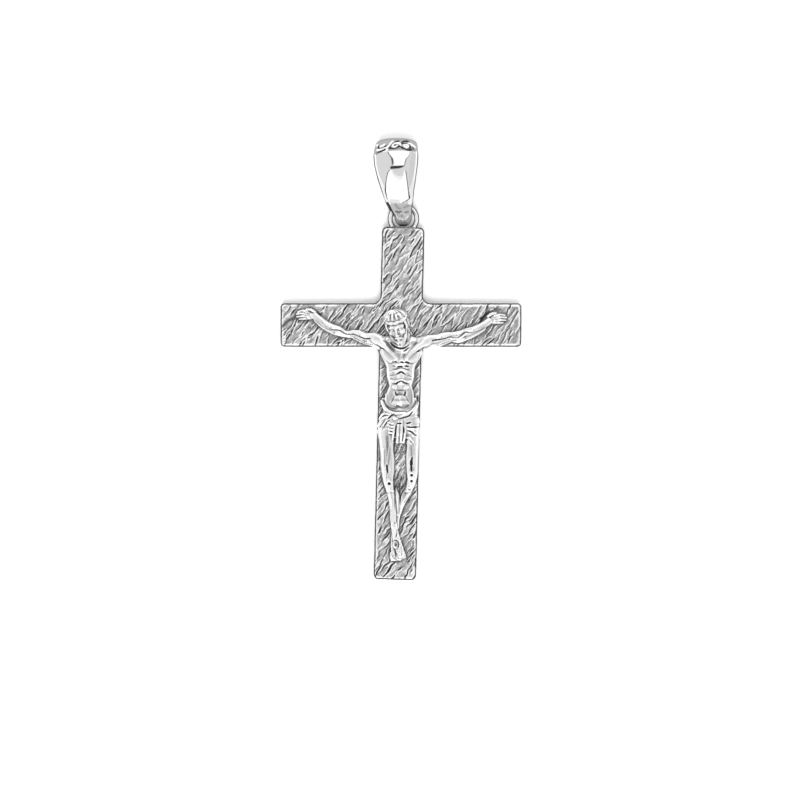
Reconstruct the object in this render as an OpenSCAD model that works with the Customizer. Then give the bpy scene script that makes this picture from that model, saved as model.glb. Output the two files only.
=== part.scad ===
// Crucifix pendant, lying on its back: a bark-textured cross with a soldered ring, a cast figure and a domed bail.
// X runs along the arms, +Y to the top of the cross, +Z out of its front. The origin is the middle of the
// crossing on the back face, which lies on the table.

/* [Cross] */
// Width of the cross over both arms
cross_w = 24.1; // [23.6:0.1:30]
// Length of the upright above the crossing's middle
head_l = 9.8; // [8:0.1:13]
// Length of the upright below the crossing's middle
foot_l = 25.5; // [24.9:0.1:34]
// Width of the upright
post_w = 4.25; // [3.9:0.05:6]
// Height of the arms
arm_h = 4.35; // [3.9:0.05:6]
// Thickness of the plate without its bark strokes
plate_t = 1.7; // [1.5:0.05:2.2]
// Angle by which the upright leans off square, as on the real, hand-finished cross
post_lean = 1.4; // [0:0.1:2]
// Radius of the rounds in the corners of the crossing
crossing_r = 0.8; // [0.4:0.1:1.2]
// Corner radius of the arms' ends
arm_end_r = 0.4; // [0.2:0.05:0.8]
// Corner radius of the upright's top
top_end_r = 0.2; // [0.1:0.05:0.5]
// Corner radius of the upright's foot
foot_end_r = 0.65; // [0.3:0.05:1]

/* [Bark] */
// Height of the raised bark strokes
stroke_h = 0.12; // [0.05:0.01:0.15]
// Length of one stroke
stroke_l = 1.7; // [1:0.1:2.2]
// Width of one stroke at its middle
stroke_w = 0.24; // [0.15:0.01:0.3]
// Distance between rows of strokes, across them
stroke_pitch = 0.56; // [0.5:0.02:1]
// Free length between two strokes of one row
stroke_gap = 0.45; // [0.3:0.05:1]
// Angle of the strokes to the arms
stroke_angle = 54; // [40:1:65]
// Bare rim between the strokes and the plate's edge
stroke_rim = 0.22; // [0.15:0.01:0.4]

/* [Ring] */
// Wire diameter of the soldered ring
ring_wire = 0.5; // [0.4:0.02:0.55]
// Radius of the ring at the middle of its wire
ring_r = 1.33; // [1.3:0.01:1.5]
// Length of the ring's opening that stands clear of the cross
ring_clear = 1.93; // [1.85:0.01:2.2]
// Height of the ring's middle above the back face
ring_z = 1.0; // [0.95:0.01:1.05]

/* [Bail] */
// Length of the bail from its lower bend to its top
bail_l = 8.8; // [8:0.1:11]
// Greatest width of the bail
bail_w = 4.5; // [3.5:0.1:5.5]
// Radius of the bail's side outline at its top bend
bail_top_r = 2.3; // [2.1:0.05:2.8]
// Radius of the bail's side outline at its lower bend
bail_low_r = 1.15; // [1.1:0.01:1.25]
// Thickness of the band along its crown
bail_t = 0.45; // [0.35:0.01:0.5]
// Thickness of the band at its edges
bail_edge = 0.2; // [0.15:0.01:0.3]
// Rise of the crown over the edges, as a share of the band's half width
bail_dome = 0.38; // [0.2:0.01:0.45]
// Sideways distance from the lower bend's middle to the top's middle
bail_lean = 0.75; // [0:0.05:1]
// Free space between the bail's lower bend and the top of the cross
bail_seat = 0.1; // [0.05:0.01:0.3]
// Wire radius of the scrolls on the bail's top
scroll_r = 0.13; // [0.08:0.01:0.16]

/* [Figure] */
// Height of the figure from the top of its head to its toes
fig_h = 25.3; // [22:0.1:26]
// Span of the arms over the fingertips
arm_span = 21.1; // [19:0.1:22]
// Depth of the figure from its back to its knees
fig_d = 2.6; // [2:0.1:3]
// Length of the head from the top of the skull to the chin
head_h = 3.3; // [2.9:0.05:3.5]
// Clearance between the figure's back and the bark strokes
seat_gap = 0.06; // [0.04:0.01:0.15]
// Diameter of the pegs behind the hands and the feet
peg_d = 0.6; // [0.4:0.05:0.7]
// Depth of the peg holes in the plate
peg_hole_l = 0.9; // [0.5:0.05:1.2]
// Radial clearance of a peg in its hole
peg_gap = 0.05; // [0.03:0.01:0.1]

/* [Hidden] */
// Columns of a limb's table: place across, place up, place forward, radius
ACROSS = 0;
UP = 1;
FRONT = 2;
ROUND = 3;
SILVER = "silver";
BRIGHT = "gainsboro";
// One hundredth of the figure's height, the unit of the figure's tables
unit = fig_h / 100;
// One hundredth of the figure's depth
deep = fig_d / 100;
half_span = arm_span / 2;
back_z = plate_t + stroke_h + seat_gap;
overlap = 0.2;
ring_y = head_l + ring_clear - (ring_r - ring_wire / 2);

// Cross

// Middle of the round in one corner of the crossing; right is 1 or -1, up is 1 or -1
function crossing_centre(right, up) =
    let (y = up * (arm_h / 2 + crossing_r))
    [(right * (post_w / 2 + crossing_r) + y * sin(post_lean)) / cos(post_lean), y];

module round_box(w, h, r) {
    square([w - 2 * r, h], center = true);
    square([w, h - 2 * r], center = true);
    for (x = [-1, 1], y = [-1, 1])
        translate([x * (w / 2 - r), y * (h / 2 - r)]) circle(r, $fn = 32);
}

module crossing_round(right, up) {
    c = crossing_centre(right, up);
    on_arm = [c[0], up * arm_h / 2];
    on_post = c - right * crossing_r * [cos(post_lean), -sin(post_lean)];
    difference() {
        polygon([[0, 0], on_arm, c, on_post]);
        translate(c) circle(crossing_r, $fn = 48);
    }
}

module post_outline() {
    rotate(-post_lean) {
        translate([0, (head_l - arm_h / 2) / 2])
            round_box(post_w, head_l + arm_h / 2, top_end_r);
        translate([0, (arm_h / 2 - foot_l) / 2])
            round_box(post_w, foot_l + arm_h / 2, foot_end_r);
    }
}

module cross_outline() {
    round_box(cross_w, arm_h, arm_end_r);
    post_outline();
    for (right = [-1, 1], up = [-1, 1]) crossing_round(right, up);
}

// True where a point of the plate's front lies inside the arms or the upright, clear of the rim
function on_arms(p) =
    abs(p[0]) < cross_w / 2 - stroke_rim && abs(p[1]) < arm_h / 2 - stroke_rim;
function on_post(p) =
    let (
        x = p[0] * cos(post_lean) - p[1] * sin(post_lean),
        y = p[0] * sin(post_lean) + p[1] * cos(post_lean)
    )
    abs(x) < post_w / 2 - stroke_rim && y < head_l - stroke_rim && y > stroke_rim - foot_l;
function on_plate(p) = on_arms(p) || on_post(p);

// Distance from a point to the nearest peg hole's middle
function peg_distance(p) = min([for (s = peg_places()) norm(p - [s[0], s[1]])]);

// Half length of a stroke whose middle is at p, along the direction a: the longest that stays on the plate
function stroke_half(p, a) =
    let (
        tries = [for (k = [1, 0.75, 0.5, 0.3]) k * stroke_l / 2],
        good = [
            for (h = tries)
                if (on_plate(p + h * [cos(a), sin(a)]) && on_plate(p - h * [cos(a), sin(a)])) h
        ]
    )
    len(good) > 0 ? good[0] : 0;

module bark_stroke(half) {
    polygon([
        [-half, 0], [-half / 2, -stroke_w / 2], [half / 2, -stroke_w / 2],
        [half, 0], [half / 2, stroke_w / 2], [-half / 2, stroke_w / 2]
    ]);
}

// Rows of strokes run along stroke_angle over the whole plate, each row shifted by a part of its step
module bark() {
    step = stroke_l + stroke_gap;
    reach = norm([cross_w / 2, foot_l]);
    rows = ceil(reach / stroke_pitch);
    columns = ceil(reach / step);
    for (row = [-rows:rows], column = [-columns:columns]) {
        shift = (row % 5) * step * 0.4 + sin(row * 77) * step * 0.12;
        turn = 5 * sin(row * 53 + column * 97);
        along = column * step + shift;
        a = stroke_angle + turn;
        p = along * [cos(stroke_angle), sin(stroke_angle)]
            + row * stroke_pitch * [-sin(stroke_angle), cos(stroke_angle)];
        half = on_plate(p) ? stroke_half(p, a) : 0;
        if (half > 0 && peg_distance(p) > half + peg_d)
            translate(p) rotate(a) bark_stroke(half);
    }
}

module ring() {
    translate([ring_x(), ring_y, ring_z])
        rotate_extrude($fn = 64)
            translate([ring_r, 0]) circle(ring_wire / 2, $fn = 24);
}

// The ring stands on the middle of the upright's top
function ring_x() = head_l * tan(post_lean);

module cross() {
    color(SILVER)
    difference() {
        union() {
            linear_extrude(plate_t) cross_outline();
            translate([0, 0, plate_t - overlap]) linear_extrude(overlap + stroke_h) bark();
            ring();
        }
        for (s = peg_places())
            translate([s[0], s[1], plate_t - peg_hole_l])
                cylinder(d = peg_d + 2 * peg_gap, h = peg_hole_l + 1, $fn = 32);
    }
}

// Bail

// Columns of the band's table: share of the bail's length from its lower bend, share of its half width,
// share of its lean
BAND = [
    [0, 0.2, 1], [0.045, 0.33, 1], [0.1, 0.41, 0.97], [0.18, 0.5, 0.66], [0.27, 0.62, 0.42],
    [0.41, 0.74, 0.23], [0.55, 0.87, 0.09], [0.69, 0.97, 0.01], [0.81, 1, 0], [0.91, 0.98, 0.02],
    [1, 0.93, 0.1]
];
bail_y = head_l + bail_seat;
low_c = [bail_y + bail_low_r, bail_low_r];
top_c = [bail_y + bail_l - bail_top_r, bail_top_r];
// Slope of the band's front run over its back run
front_rise = 2 * atan2(top_c[1] - low_c[1], top_c[0] - low_c[0]);
band_power = 0.77;
band_points = 9;

function band_share(y) = (y - bail_y) / bail_l;
function band_half(y) =
    lookup(band_share(y), [for (row = BAND) [row[0], row[1]]]) * bail_w / 2;
function band_middle(y) =
    ring_x() - bail_lean * (1 - lookup(band_share(y), [for (row = BAND) [row[0], row[2]]]));

// Stations round the side outline: middle of the bend, its radius and the angle of the outward normal
function bend(c, r, from, to, steps) =
    [for (i = [0:steps]) [c + r * [cos(from + (to - from) * i / steps), sin(from + (to - from) * i / steps)],
        from + (to - from) * i / steps]];
function run(a, b, angle, steps) = [for (i = [1:steps - 1]) [a + (b - a) * i / steps, angle]];
function at(c, r, angle) = c + r * [cos(angle), sin(angle)];
function stations() =
    let (front = 90 + front_rise)
    concat(
        bend(top_c, bail_top_r, -90, front, 20),
        run(at(top_c, bail_top_r, front), at(low_c, bail_low_r, front), front, 7),
        bend(low_c, bail_low_r, front, 270, 14),
        run(at(low_c, bail_low_r, 270), at(top_c, bail_top_r, 270), 270, 7)
    );

// Domed height of the band at an angle across it, 1 on the crown and 0 at its edges
function dome(a) = pow(abs(sin(a)), band_power);
function sideways(a) = sign(cos(a)) * pow(abs(cos(a)), band_power);

// Points of one section, from the outer crown's side to the inner side: place across, then depth below the crown
function band_section(half) =
    let (
        rise = bail_dome * half,
        hollow = max(0, rise + bail_edge - bail_t),
        outer = [for (i = [0:band_points - 1]) let (a = 180 * i / (band_points - 1))
            [half * sideways(a), rise * (1 - dome(a))]],
        inner = [for (i = [band_points - 1:-2:0]) let (a = 180 * i / (band_points - 1))
            [half * sideways(a), bail_t + hollow * (1 - dome(a))]]
    )
    concat(outer, inner);

function band_point(station, p) =
    let (
        out = [cos(station[1]), sin(station[1])],
        yz = station[0] - p[1] * out
    )
    [band_middle(station[0][0]) + p[0], yz[0], yz[1]];

module band() {
    rings = [for (s = stations()) [for (p = band_section(band_half(s[0][0]))) band_point(s, p)]];
    n = len(rings[0]);
    m = len(rings);
    polyhedron(
        points = [for (r = rings) each r],
        faces = [for (i = [0:m - 1], j = [0:n - 1])
            let (next = (i + 1) % m, k = (j + 1) % n)
            [i * n + j, next * n + j, next * n + k, i * n + k]]
    );
}

// Height of the band's outer face over the top bend, at a place seen from the front
function top_z(x, y) =
    let (
        half = band_half(y),
        u = min(0.99, abs(x - band_middle(y)) / half),
        low = bail_dome * half * (1 - pow(1 - pow(u, 2 / band_power), band_power / 2)),
        r = bail_top_r - low
    )
    top_c[1] + sqrt(max(0.01, r * r - pow(y - top_c[0], 2)));

// A scroll of a rising spiral with a tail: middle, first radius, last radius, first angle, turn.
// Lengths are shares of the bail's half width, and the middle is measured from the bail's top middle
SCROLLS = [
    [[-0.52, -0.4], 0.33, 0.12, 205, -290],
    [[-0.02, -0.3], 0.34, 0.1, 255, -330],
    [[0.5, -0.34], 0.32, 0.08, 215, 430],
    [[-0.56, -0.56], 0.2, 0.26, 60, 110],
    [[0.22, -0.5], 0.2, 0.24, 200, 120]
];

function scroll_points(row, steps) =
    let (middle = [band_middle(bail_y + bail_l), bail_y + bail_l])
    [for (i = [0:steps])
        let (
            k = i / steps,
            r = row[1] + (row[2] - row[1]) * k,
            a = row[3] + row[4] * k,
            p = middle + bail_w / 2 * (row[0] + r * [cos(a), 0.6 * sin(a)])
        )
        [p[0], p[1], top_z(p[0], p[1])]];

module scroll(row) {
    steps = max(3, round(abs(row[4]) / 42));
    path = scroll_points(row, steps);
    for (i = [1:steps])
        hull()
            for (k = [i - 1, i])
                translate(path[k]) sphere(scroll_r, $fn = 6);
}

module bail() {
    color(BRIGHT) {
        band();
        for (row = SCROLLS) scroll(row);
    }
}

// Figure. Its tables hold hundredths of the figure's height, and forward of its depth

// Arms: place across as a share of half the span, place up, place forward, radius
LEFT_ARM = [
    [-0.16, -6.6, 42, 2.8], [-0.25, -6, 38, 2.6], [-0.34, -5, 34, 2.2], [-0.44, -3.8, 30, 1.65],
    [-0.52, -3.5, 26, 1.35], [-0.61, -1.8, 24, 1.7], [-0.71, 0.4, 20, 1.6], [-0.8, 3.2, 16, 1.05]
];
RIGHT_ARM = [
    [0.16, -6.9, 42, 2.8], [0.25, -6.3, 38, 2.6], [0.34, -5.4, 34, 2.3], [0.44, -4.2, 30, 1.8],
    [0.52, -3.9, 26, 1.4], [0.6, -2.6, 24, 1.7], [0.71, -0.6, 20, 1.6], [0.8, 1.8, 16, 1.05]
];
LEFT_PALM = [-0.87, 3.9, 14, 1.15];
RIGHT_PALM = [0.87, 2.1, 14, 1.15];
// Fingers: how far they reach as a share of half the span, and how far up or down they spread
FINGERS = [[0.1, 1.2], [0.12, 0.4], [0.12, -0.4], [0.1, -1.2]];
THUMB = [0.05, 2];

// Sections of the torso and of the loincloth: place across, up and forward, half width, half height, half depth
TORSO = [
    [0, -6.4, 36, 5.8, 2.2, 30], [0, -8.6, 34, 7.4, 2.2, 38], [0, -12, 34, 7.5, 2.2, 42],
    [-0.1, -14.6, 34, 6.6, 2, 40], [-0.2, -18.4, 34, 5.5, 2, 38], [-0.2, -21.6, 34, 5.3, 2, 36],
    [-0.3, -24, 34, 4.6, 1.6, 31], [-0.5, -28, 34, 5.4, 2, 36], [-0.7, -31.5, 34, 6.4, 2, 38]
];
CLOTH = [
    [-0.6, -31.8, 34, 6.8, 1.6, 41], [-0.6, -36, 36, 7, 2, 44], [-0.7, -39, 36, 7.7, 2, 46],
    [-1, -42, 38, 8, 1.6, 46]
];
// Forms laid over the body: the pectorals, the rib cage's rim, the belly and its upper muscles
FORMS = [
    [-3.3, -11.4, 50, 4.6, 3.7, 30], [3.3, -11.4, 50, 4.6, 3.7, 30], [-0.2, -19.4, 46, 4.6, 3.6, 28],
    [-0.5, -28.4, 46, 4.8, 4.4, 28], [-1.9, -24.6, 48, 2, 1.6, 20], [1.4, -24.6, 48, 2, 1.6, 20],
    [-5.4, -14.8, 40, 2.2, 4.4, 26], [5.2, -14.8, 40, 2.2, 4.4, 26]
];

// Legs: place across, place up, place forward, radius
LEFT_LEG = [
    [-4.7, -38, 42, 3], [-5.1, -46, 46, 2.9], [-5.1, -53, 54, 2.85], [-4.9, -59, 64, 2.4],
    [-4.6, -63.2, 72, 2.15], [-3.8, -67.5, 64, 1.55], [-3, -73, 52, 1.75], [-2.7, -78.5, 42, 1.3],
    [-2.6, -81.5, 40, 1.2]
];
RIGHT_LEG = [
    [4.1, -38, 42, 3], [4.4, -46, 46, 2.95], [4.4, -53, 54, 2.8], [4.3, -59, 62, 2.3],
    [4.1, -63.6, 68, 2.05], [2.6, -68, 54, 1.5], [0.8, -72.8, 40, 1.7], [-0.9, -78, 28, 1.2],
    [-1.4, -81.5, 24, 1.1]
];
// Feet: heel, instep, ball and toes
LEFT_FOOT = [[-2.5, -82, 40, 1.35], [-1.9, -86, 46, 1.5], [-1.1, -90, 40, 2], [-0.8, -92, 34, 1.5]];
RIGHT_FOOT = [[-1.6, -82, 22, 1.1], [-2, -86, 18, 1.3], [-2.6, -90, 14, 1.5], [-2.9, -92, 12, 1.1]];

// Ridges laid over the body, such as the collar bones and the rims of the ribs: two ends and their radii
RIDGES = [
    [[-5.6, -17.8, 54, 0.6], [-0.2, -16.4, 74, 0.6]], [[5.3, -17.8, 54, 0.6], [-0.2, -16.4, 74, 0.6]],
    [[-5, -20.4, 56, 0.5], [-1.6, -18.2, 72, 0.5]], [[4.6, -20.4, 56, 0.5], [1.2, -18.2, 72, 0.5]],
    [[-4.6, -22.6, 54, 0.5], [-0.2, -21.8, 68, 0.5]], [[4.2, -22.6, 54, 0.5], [-0.2, -21.8, 68, 0.5]],
    [[-6.4, -8.4, 64, 0.9], [-1, -9.4, 70, 0.7]], [[6.4, -8.4, 64, 0.9], [1, -9.4, 70, 0.7]]
];
// Folds of the loincloth: two ends and their radii
FOLDS = [
    [[6, -33.4, 54, 1.5], [-2.8, -36.6, 76, 1.6]], [[5, -35.8, 60, 1.2], [-2.4, -38.2, 77, 1.2]],
    [[-2.8, -35.4, 74, 1.4], [-7, -32.4, 42, 1.2]], [[-2.8, -36.2, 74, 1.4], [-7.2, -37.2, 46, 1.2]],
    [[-2.6, -37, 76, 1.3], [-7.8, -41.4, 48, 1.3]], [[-2.2, -38.6, 76, 1.2], [-5.8, -42.6, 60, 1.1]],
    [[1.8, -39, 76, 1.3], [6.4, -39.8, 54, 1.2]], [[1.6, -40.8, 74, 1.1], [6.4, -42.8, 54, 1.1]],
    [[-1.4, -38, 80, 1.1], [-2.8, -46.2, 74, 1.2]], [[-0.2, -38, 82, 1.1], [-0.6, -46.4, 76, 1.2]],
    [[0.9, -38, 80, 1.1], [1.1, -46, 74, 1.1]]
];

function figure_point(p) = [p[ACROSS] * unit, p[UP] * unit, back_z + p[FRONT] * deep];
function arm_point(p) = [p[ACROSS] * half_span, p[UP] * unit, back_z + p[FRONT] * deep];
function peg_places() = [arm_point(LEFT_PALM), arm_point(RIGHT_PALM), figure_point(RIGHT_FOOT[2])];

module ball(at, r, sides) {
    translate(at) sphere(r * unit, $fn = sides);
}

module limb(rows, sides) {
    for (i = [1:len(rows) - 1])
        hull()
            for (row = [rows[i - 1], rows[i]]) ball(figure_point(row), row[ROUND], sides);
}

module arm(rows, palm) {
    side = sign(palm[ACROSS]);
    chain = concat(rows, [palm]);
    for (i = [1:len(chain) - 1])
        hull()
            for (row = [chain[i - 1], chain[i]]) ball(arm_point(row), row[ROUND], 10);
    for (f = concat(FINGERS, [THUMB]))
        hull() {
            ball(arm_point(palm + [side * 0.02, f[1] * 0.5, 2, 0]), 0.55, 6);
            ball(arm_point(palm + [side * f[0], f[1], -4, 0]), 0.4, 6);
        }
}

module form(row, sides) {
    translate(figure_point(row))
        scale([row[3] * unit, row[4] * unit, row[5] * deep]) sphere(1, $fn = sides);
}

module body_form(rows) {
    for (i = [1:len(rows) - 1])
        hull() {
            form(rows[i - 1], 16);
            form(rows[i], 16);
        }
}

// The head stands in its own frame: X to its side, Y to its crown, Z out of its face, lengths as shares of head_h
HEAD_PLACE = [-1.3, -0.3, 54];
HEAD_TURN = [22, -14, 10];
// Hair: two ends and their radii, on one side; the other side mirrors it
LOCKS = [
    [[0.03, 0.44, 0.16, 0.09], [0.22, 0.36, 0.26, 0.09]], [[0.22, 0.36, 0.26, 0.09], [0.33, 0.12, 0.2, 0.08]],
    [[0.33, 0.12, 0.2, 0.08], [0.33, -0.16, 0.12, 0.08]], [[0.33, -0.16, 0.12, 0.08], [0.38, -0.46, 0.1, 0.05]],
    [[0.2, 0.4, 0, 0.09], [0.36, 0.06, 0, 0.1]], [[0.36, 0.06, 0, 0.1], [0.34, -0.42, -0.06, 0.08]]
];
// Beard: ends and radii from the cheek to the chin, on one side
BEARD = [
    [[0.25, -0.1, 0.2, 0.07], [0.18, -0.34, 0.27, 0.09]], [[0.18, -0.34, 0.27, 0.09], [0.05, -0.54, 0.33, 0.08]],
    [[0.03, -0.29, 0.4, 0.035], [0.13, -0.35, 0.34, 0.03]], [[0.05, -0.42, 0.36, 0.06], [0.02, -0.58, 0.33, 0.05]]
];
// Face, on one side: brow, eyelid, cheekbone and lip
FACE = [
    [[0.05, 0.09, 0.39, 0.04], [0.19, 0.1, 0.33, 0.035]], [[0.09, 0.01, 0.36, 0.04], [0.16, 0, 0.335, 0.035]],
    [[0.12, -0.12, 0.32, 0.07], [0.21, -0.08, 0.25, 0.08]], [[0, -0.37, 0.39, 0.03], [0.06, -0.36, 0.375, 0.025]]
];
CROWN_STEPS = 12;

module stroke3(ends, sides) {
    hull()
        for (e = ends) translate([e[0], e[1], e[2]]) sphere(e[3], $fn = sides);
}

// Plaited band round the hair: it runs up and down as it goes round
module crown_band() {
    function place(k) = [0.36 * cos(k), 0.24 + 0.04 * sin(3 * k), 0.42 * sin(k) - 0.02];
    for (i = [0:CROWN_STEPS - 1])
        hull()
            for (k = [i, i + 1])
                translate(place(360 * k / CROWN_STEPS)) sphere(0.07, $fn = 6);
}

module head() {
    translate(figure_point(HEAD_PLACE)) rotate(HEAD_TURN) scale(head_h) {
        scale([0.34, 0.48, 0.42]) sphere(1, $fn = 16);
        hull() {
            translate([0, -0.1, 0.12]) sphere(0.28, $fn = 14);
            translate([0, -0.4, 0.24]) sphere(0.13, $fn = 10);
        }
        hull() {
            translate([0, 0.06, 0.4]) sphere(0.035, $fn = 8);
            translate([0, -0.2, 0.49]) sphere(0.045, $fn = 8);
            translate([0, -0.22, 0.38]) sphere(0.075, $fn = 8);
        }
        for (side = [0, 1])
            mirror([side, 0, 0]) {
                for (ends = LOCKS) stroke3(ends, 8);
                for (ends = BEARD) stroke3(ends, 6);
                for (ends = FACE) stroke3(ends, 6);
            }
        crown_band();
    }
}

module neck() {
    hull() {
        ball(figure_point([-0.9, -4, 50]), 2.2, 14);
        ball(figure_point([-0.3, -8, 46]), 3, 14);
    }
}

module pegs() {
    for (s = peg_places())
        translate([s[0], s[1], plate_t - peg_hole_l + peg_gap])
            cylinder(d = peg_d, h = s[2] - plate_t + peg_hole_l - peg_gap, $fn = 24);
}

// Flat back of the casting: nothing of the body reaches behind it but the pegs
module in_front_of_back() {
    intersection() {
        children();
        translate([-cross_w, -foot_l * 2, back_z]) cube([cross_w * 2, foot_l * 3, fig_d * 3]);
    }
}

module corpus() {
    color(BRIGHT) {
        in_front_of_back() {
            body_form(TORSO);
            body_form(CLOTH);
            for (row = FORMS) form(row, 14);
            arm(LEFT_ARM, LEFT_PALM);
            arm(RIGHT_ARM, RIGHT_PALM);
            limb(LEFT_LEG, 10);
            limb(RIGHT_LEG, 10);
            limb(LEFT_FOOT, 10);
            limb(RIGHT_FOOT, 10);
            for (r = RIDGES) limb(r, 6);
            for (f = FOLDS) limb(f, 6);
            neck();
            head();
        }
        pegs();
    }
}

cross();
corpus();
bail();
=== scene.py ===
import bpy
import numpy as np
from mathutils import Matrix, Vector


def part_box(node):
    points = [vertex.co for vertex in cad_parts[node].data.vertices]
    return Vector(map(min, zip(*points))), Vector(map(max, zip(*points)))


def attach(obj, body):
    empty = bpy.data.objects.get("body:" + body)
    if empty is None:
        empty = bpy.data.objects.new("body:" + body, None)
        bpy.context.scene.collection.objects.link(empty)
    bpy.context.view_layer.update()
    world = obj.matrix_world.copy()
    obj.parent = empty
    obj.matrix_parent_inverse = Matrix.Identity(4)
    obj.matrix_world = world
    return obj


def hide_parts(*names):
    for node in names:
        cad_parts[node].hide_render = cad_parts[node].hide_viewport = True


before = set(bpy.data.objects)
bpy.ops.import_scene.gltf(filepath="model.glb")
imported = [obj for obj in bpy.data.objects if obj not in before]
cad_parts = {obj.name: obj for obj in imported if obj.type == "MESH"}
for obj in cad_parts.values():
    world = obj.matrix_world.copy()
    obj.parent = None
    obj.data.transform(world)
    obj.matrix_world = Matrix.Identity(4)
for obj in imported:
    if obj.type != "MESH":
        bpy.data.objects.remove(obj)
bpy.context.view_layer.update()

MM = 0.001
# A distance in mm that counts as far away
FAR = 9.0


# Shapes in clay


def spaced(table, steps):
    """A table's rows with a smooth curve (Catmull-Rom) through them, steps pieces to each stretch."""
    t = np.asarray(table, float)
    if len(t) < 3:
        return t
    t = np.vstack([2 * t[0] - t[1], t, 2 * t[-1] - t[-2]])
    k = np.arange(steps)[:, None] / steps
    out = []
    for a, b, c, d in zip(t[:-3], t[1:-2], t[2:-1], t[3:]):
        bend = (2 * a - 5 * b + 4 * c - d) * k**2 + (3 * b - a - 3 * c + d) * k**3
        out.append(0.5 * (2 * b + (c - a) * k + bend))
    return np.vstack(out + [t[-2:-1]])


def segment_distance(p, a, b):
    """Distance from points p, a list of coordinate arrays, to a segment, and how far along it they are."""
    ab = b - a
    share = sum((p[k] - a[k]) * ab[k] for k in range(len(p))) / max(float(ab @ ab), 1e-9)
    share = np.clip(share, 0, 1)
    return np.sqrt(sum((p[k] - a[k] - share * ab[k]) ** 2 for k in range(len(p)))), share


def blurred(values, reach, rounds=2):
    """An array averaged over reach cells each way, along each axis in turn."""
    out = values.astype(np.float32)
    for _ in range(rounds):
        for axis in range(out.ndim):
            total = np.cumsum(np.moveaxis(out, axis, 0), axis=0, dtype=np.float64)
            n = len(total)
            low = np.clip(np.arange(n) - reach - 1, -1, n - 1)
            high = np.clip(np.arange(n) + reach, 0, n - 1)
            below = np.where((low >= 0).reshape(-1, *[1] * (out.ndim - 1)), total[np.maximum(low, 0)], 0)
            mean = (total[high] - below) / (2 * reach + 1)
            out = np.moveaxis(mean.astype(np.float32), 0, axis)
    return out


def blended(grid, places):
    """Values of a grid at places counted in cells, blended between the cells."""
    first = np.clip(np.floor(places).astype(int), 0, np.array(grid.shape) - 2)
    share = places - first
    out = 0
    for corner in np.ndindex(*[2] * grid.ndim):
        out = out + np.abs(1 - np.array(corner) - share).prod(axis=1) * grid[tuple((first + corner).T)]
    return out


def ramp(value, start, end):
    """Rises straight from 0 at the start to 1 at the end, which may lie on either side of it."""
    return np.clip((value - start) / (end - start), 0, 1)


def fading(distance, width, power=2):
    """Falls from 1 at no distance to nearly 0 at two widths."""
    return np.exp(-((distance / width) ** power))


def mixed(value, share, other):
    """A value, or a table of them, with a share of it replaced by another."""
    return value * (1 - share) + other * share


def rounded(a, b, radius):
    """Distance to what two shapes share, from their distances, with a round where their sides meet."""
    corner = np.hypot(np.maximum(a + radius, 0), np.maximum(b + radius, 0))
    return np.minimum(np.maximum(a, b), -radius) + corner


def line_distance(lines, x, y):
    """Distance from places to the nearest of some lines."""
    near = np.full(x.shape, FAR)
    for line in lines:
        line = spaced(line, 5)
        for a, b in zip(line[:-1], line[1:]):
            near = np.minimum(near, segment_distance((x, y), a, b)[0])
    return near


def on_line(line, width, x, y):
    """1 at places on a line, fading to its sides."""
    return fading(line_distance([line], x, y), width)


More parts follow.
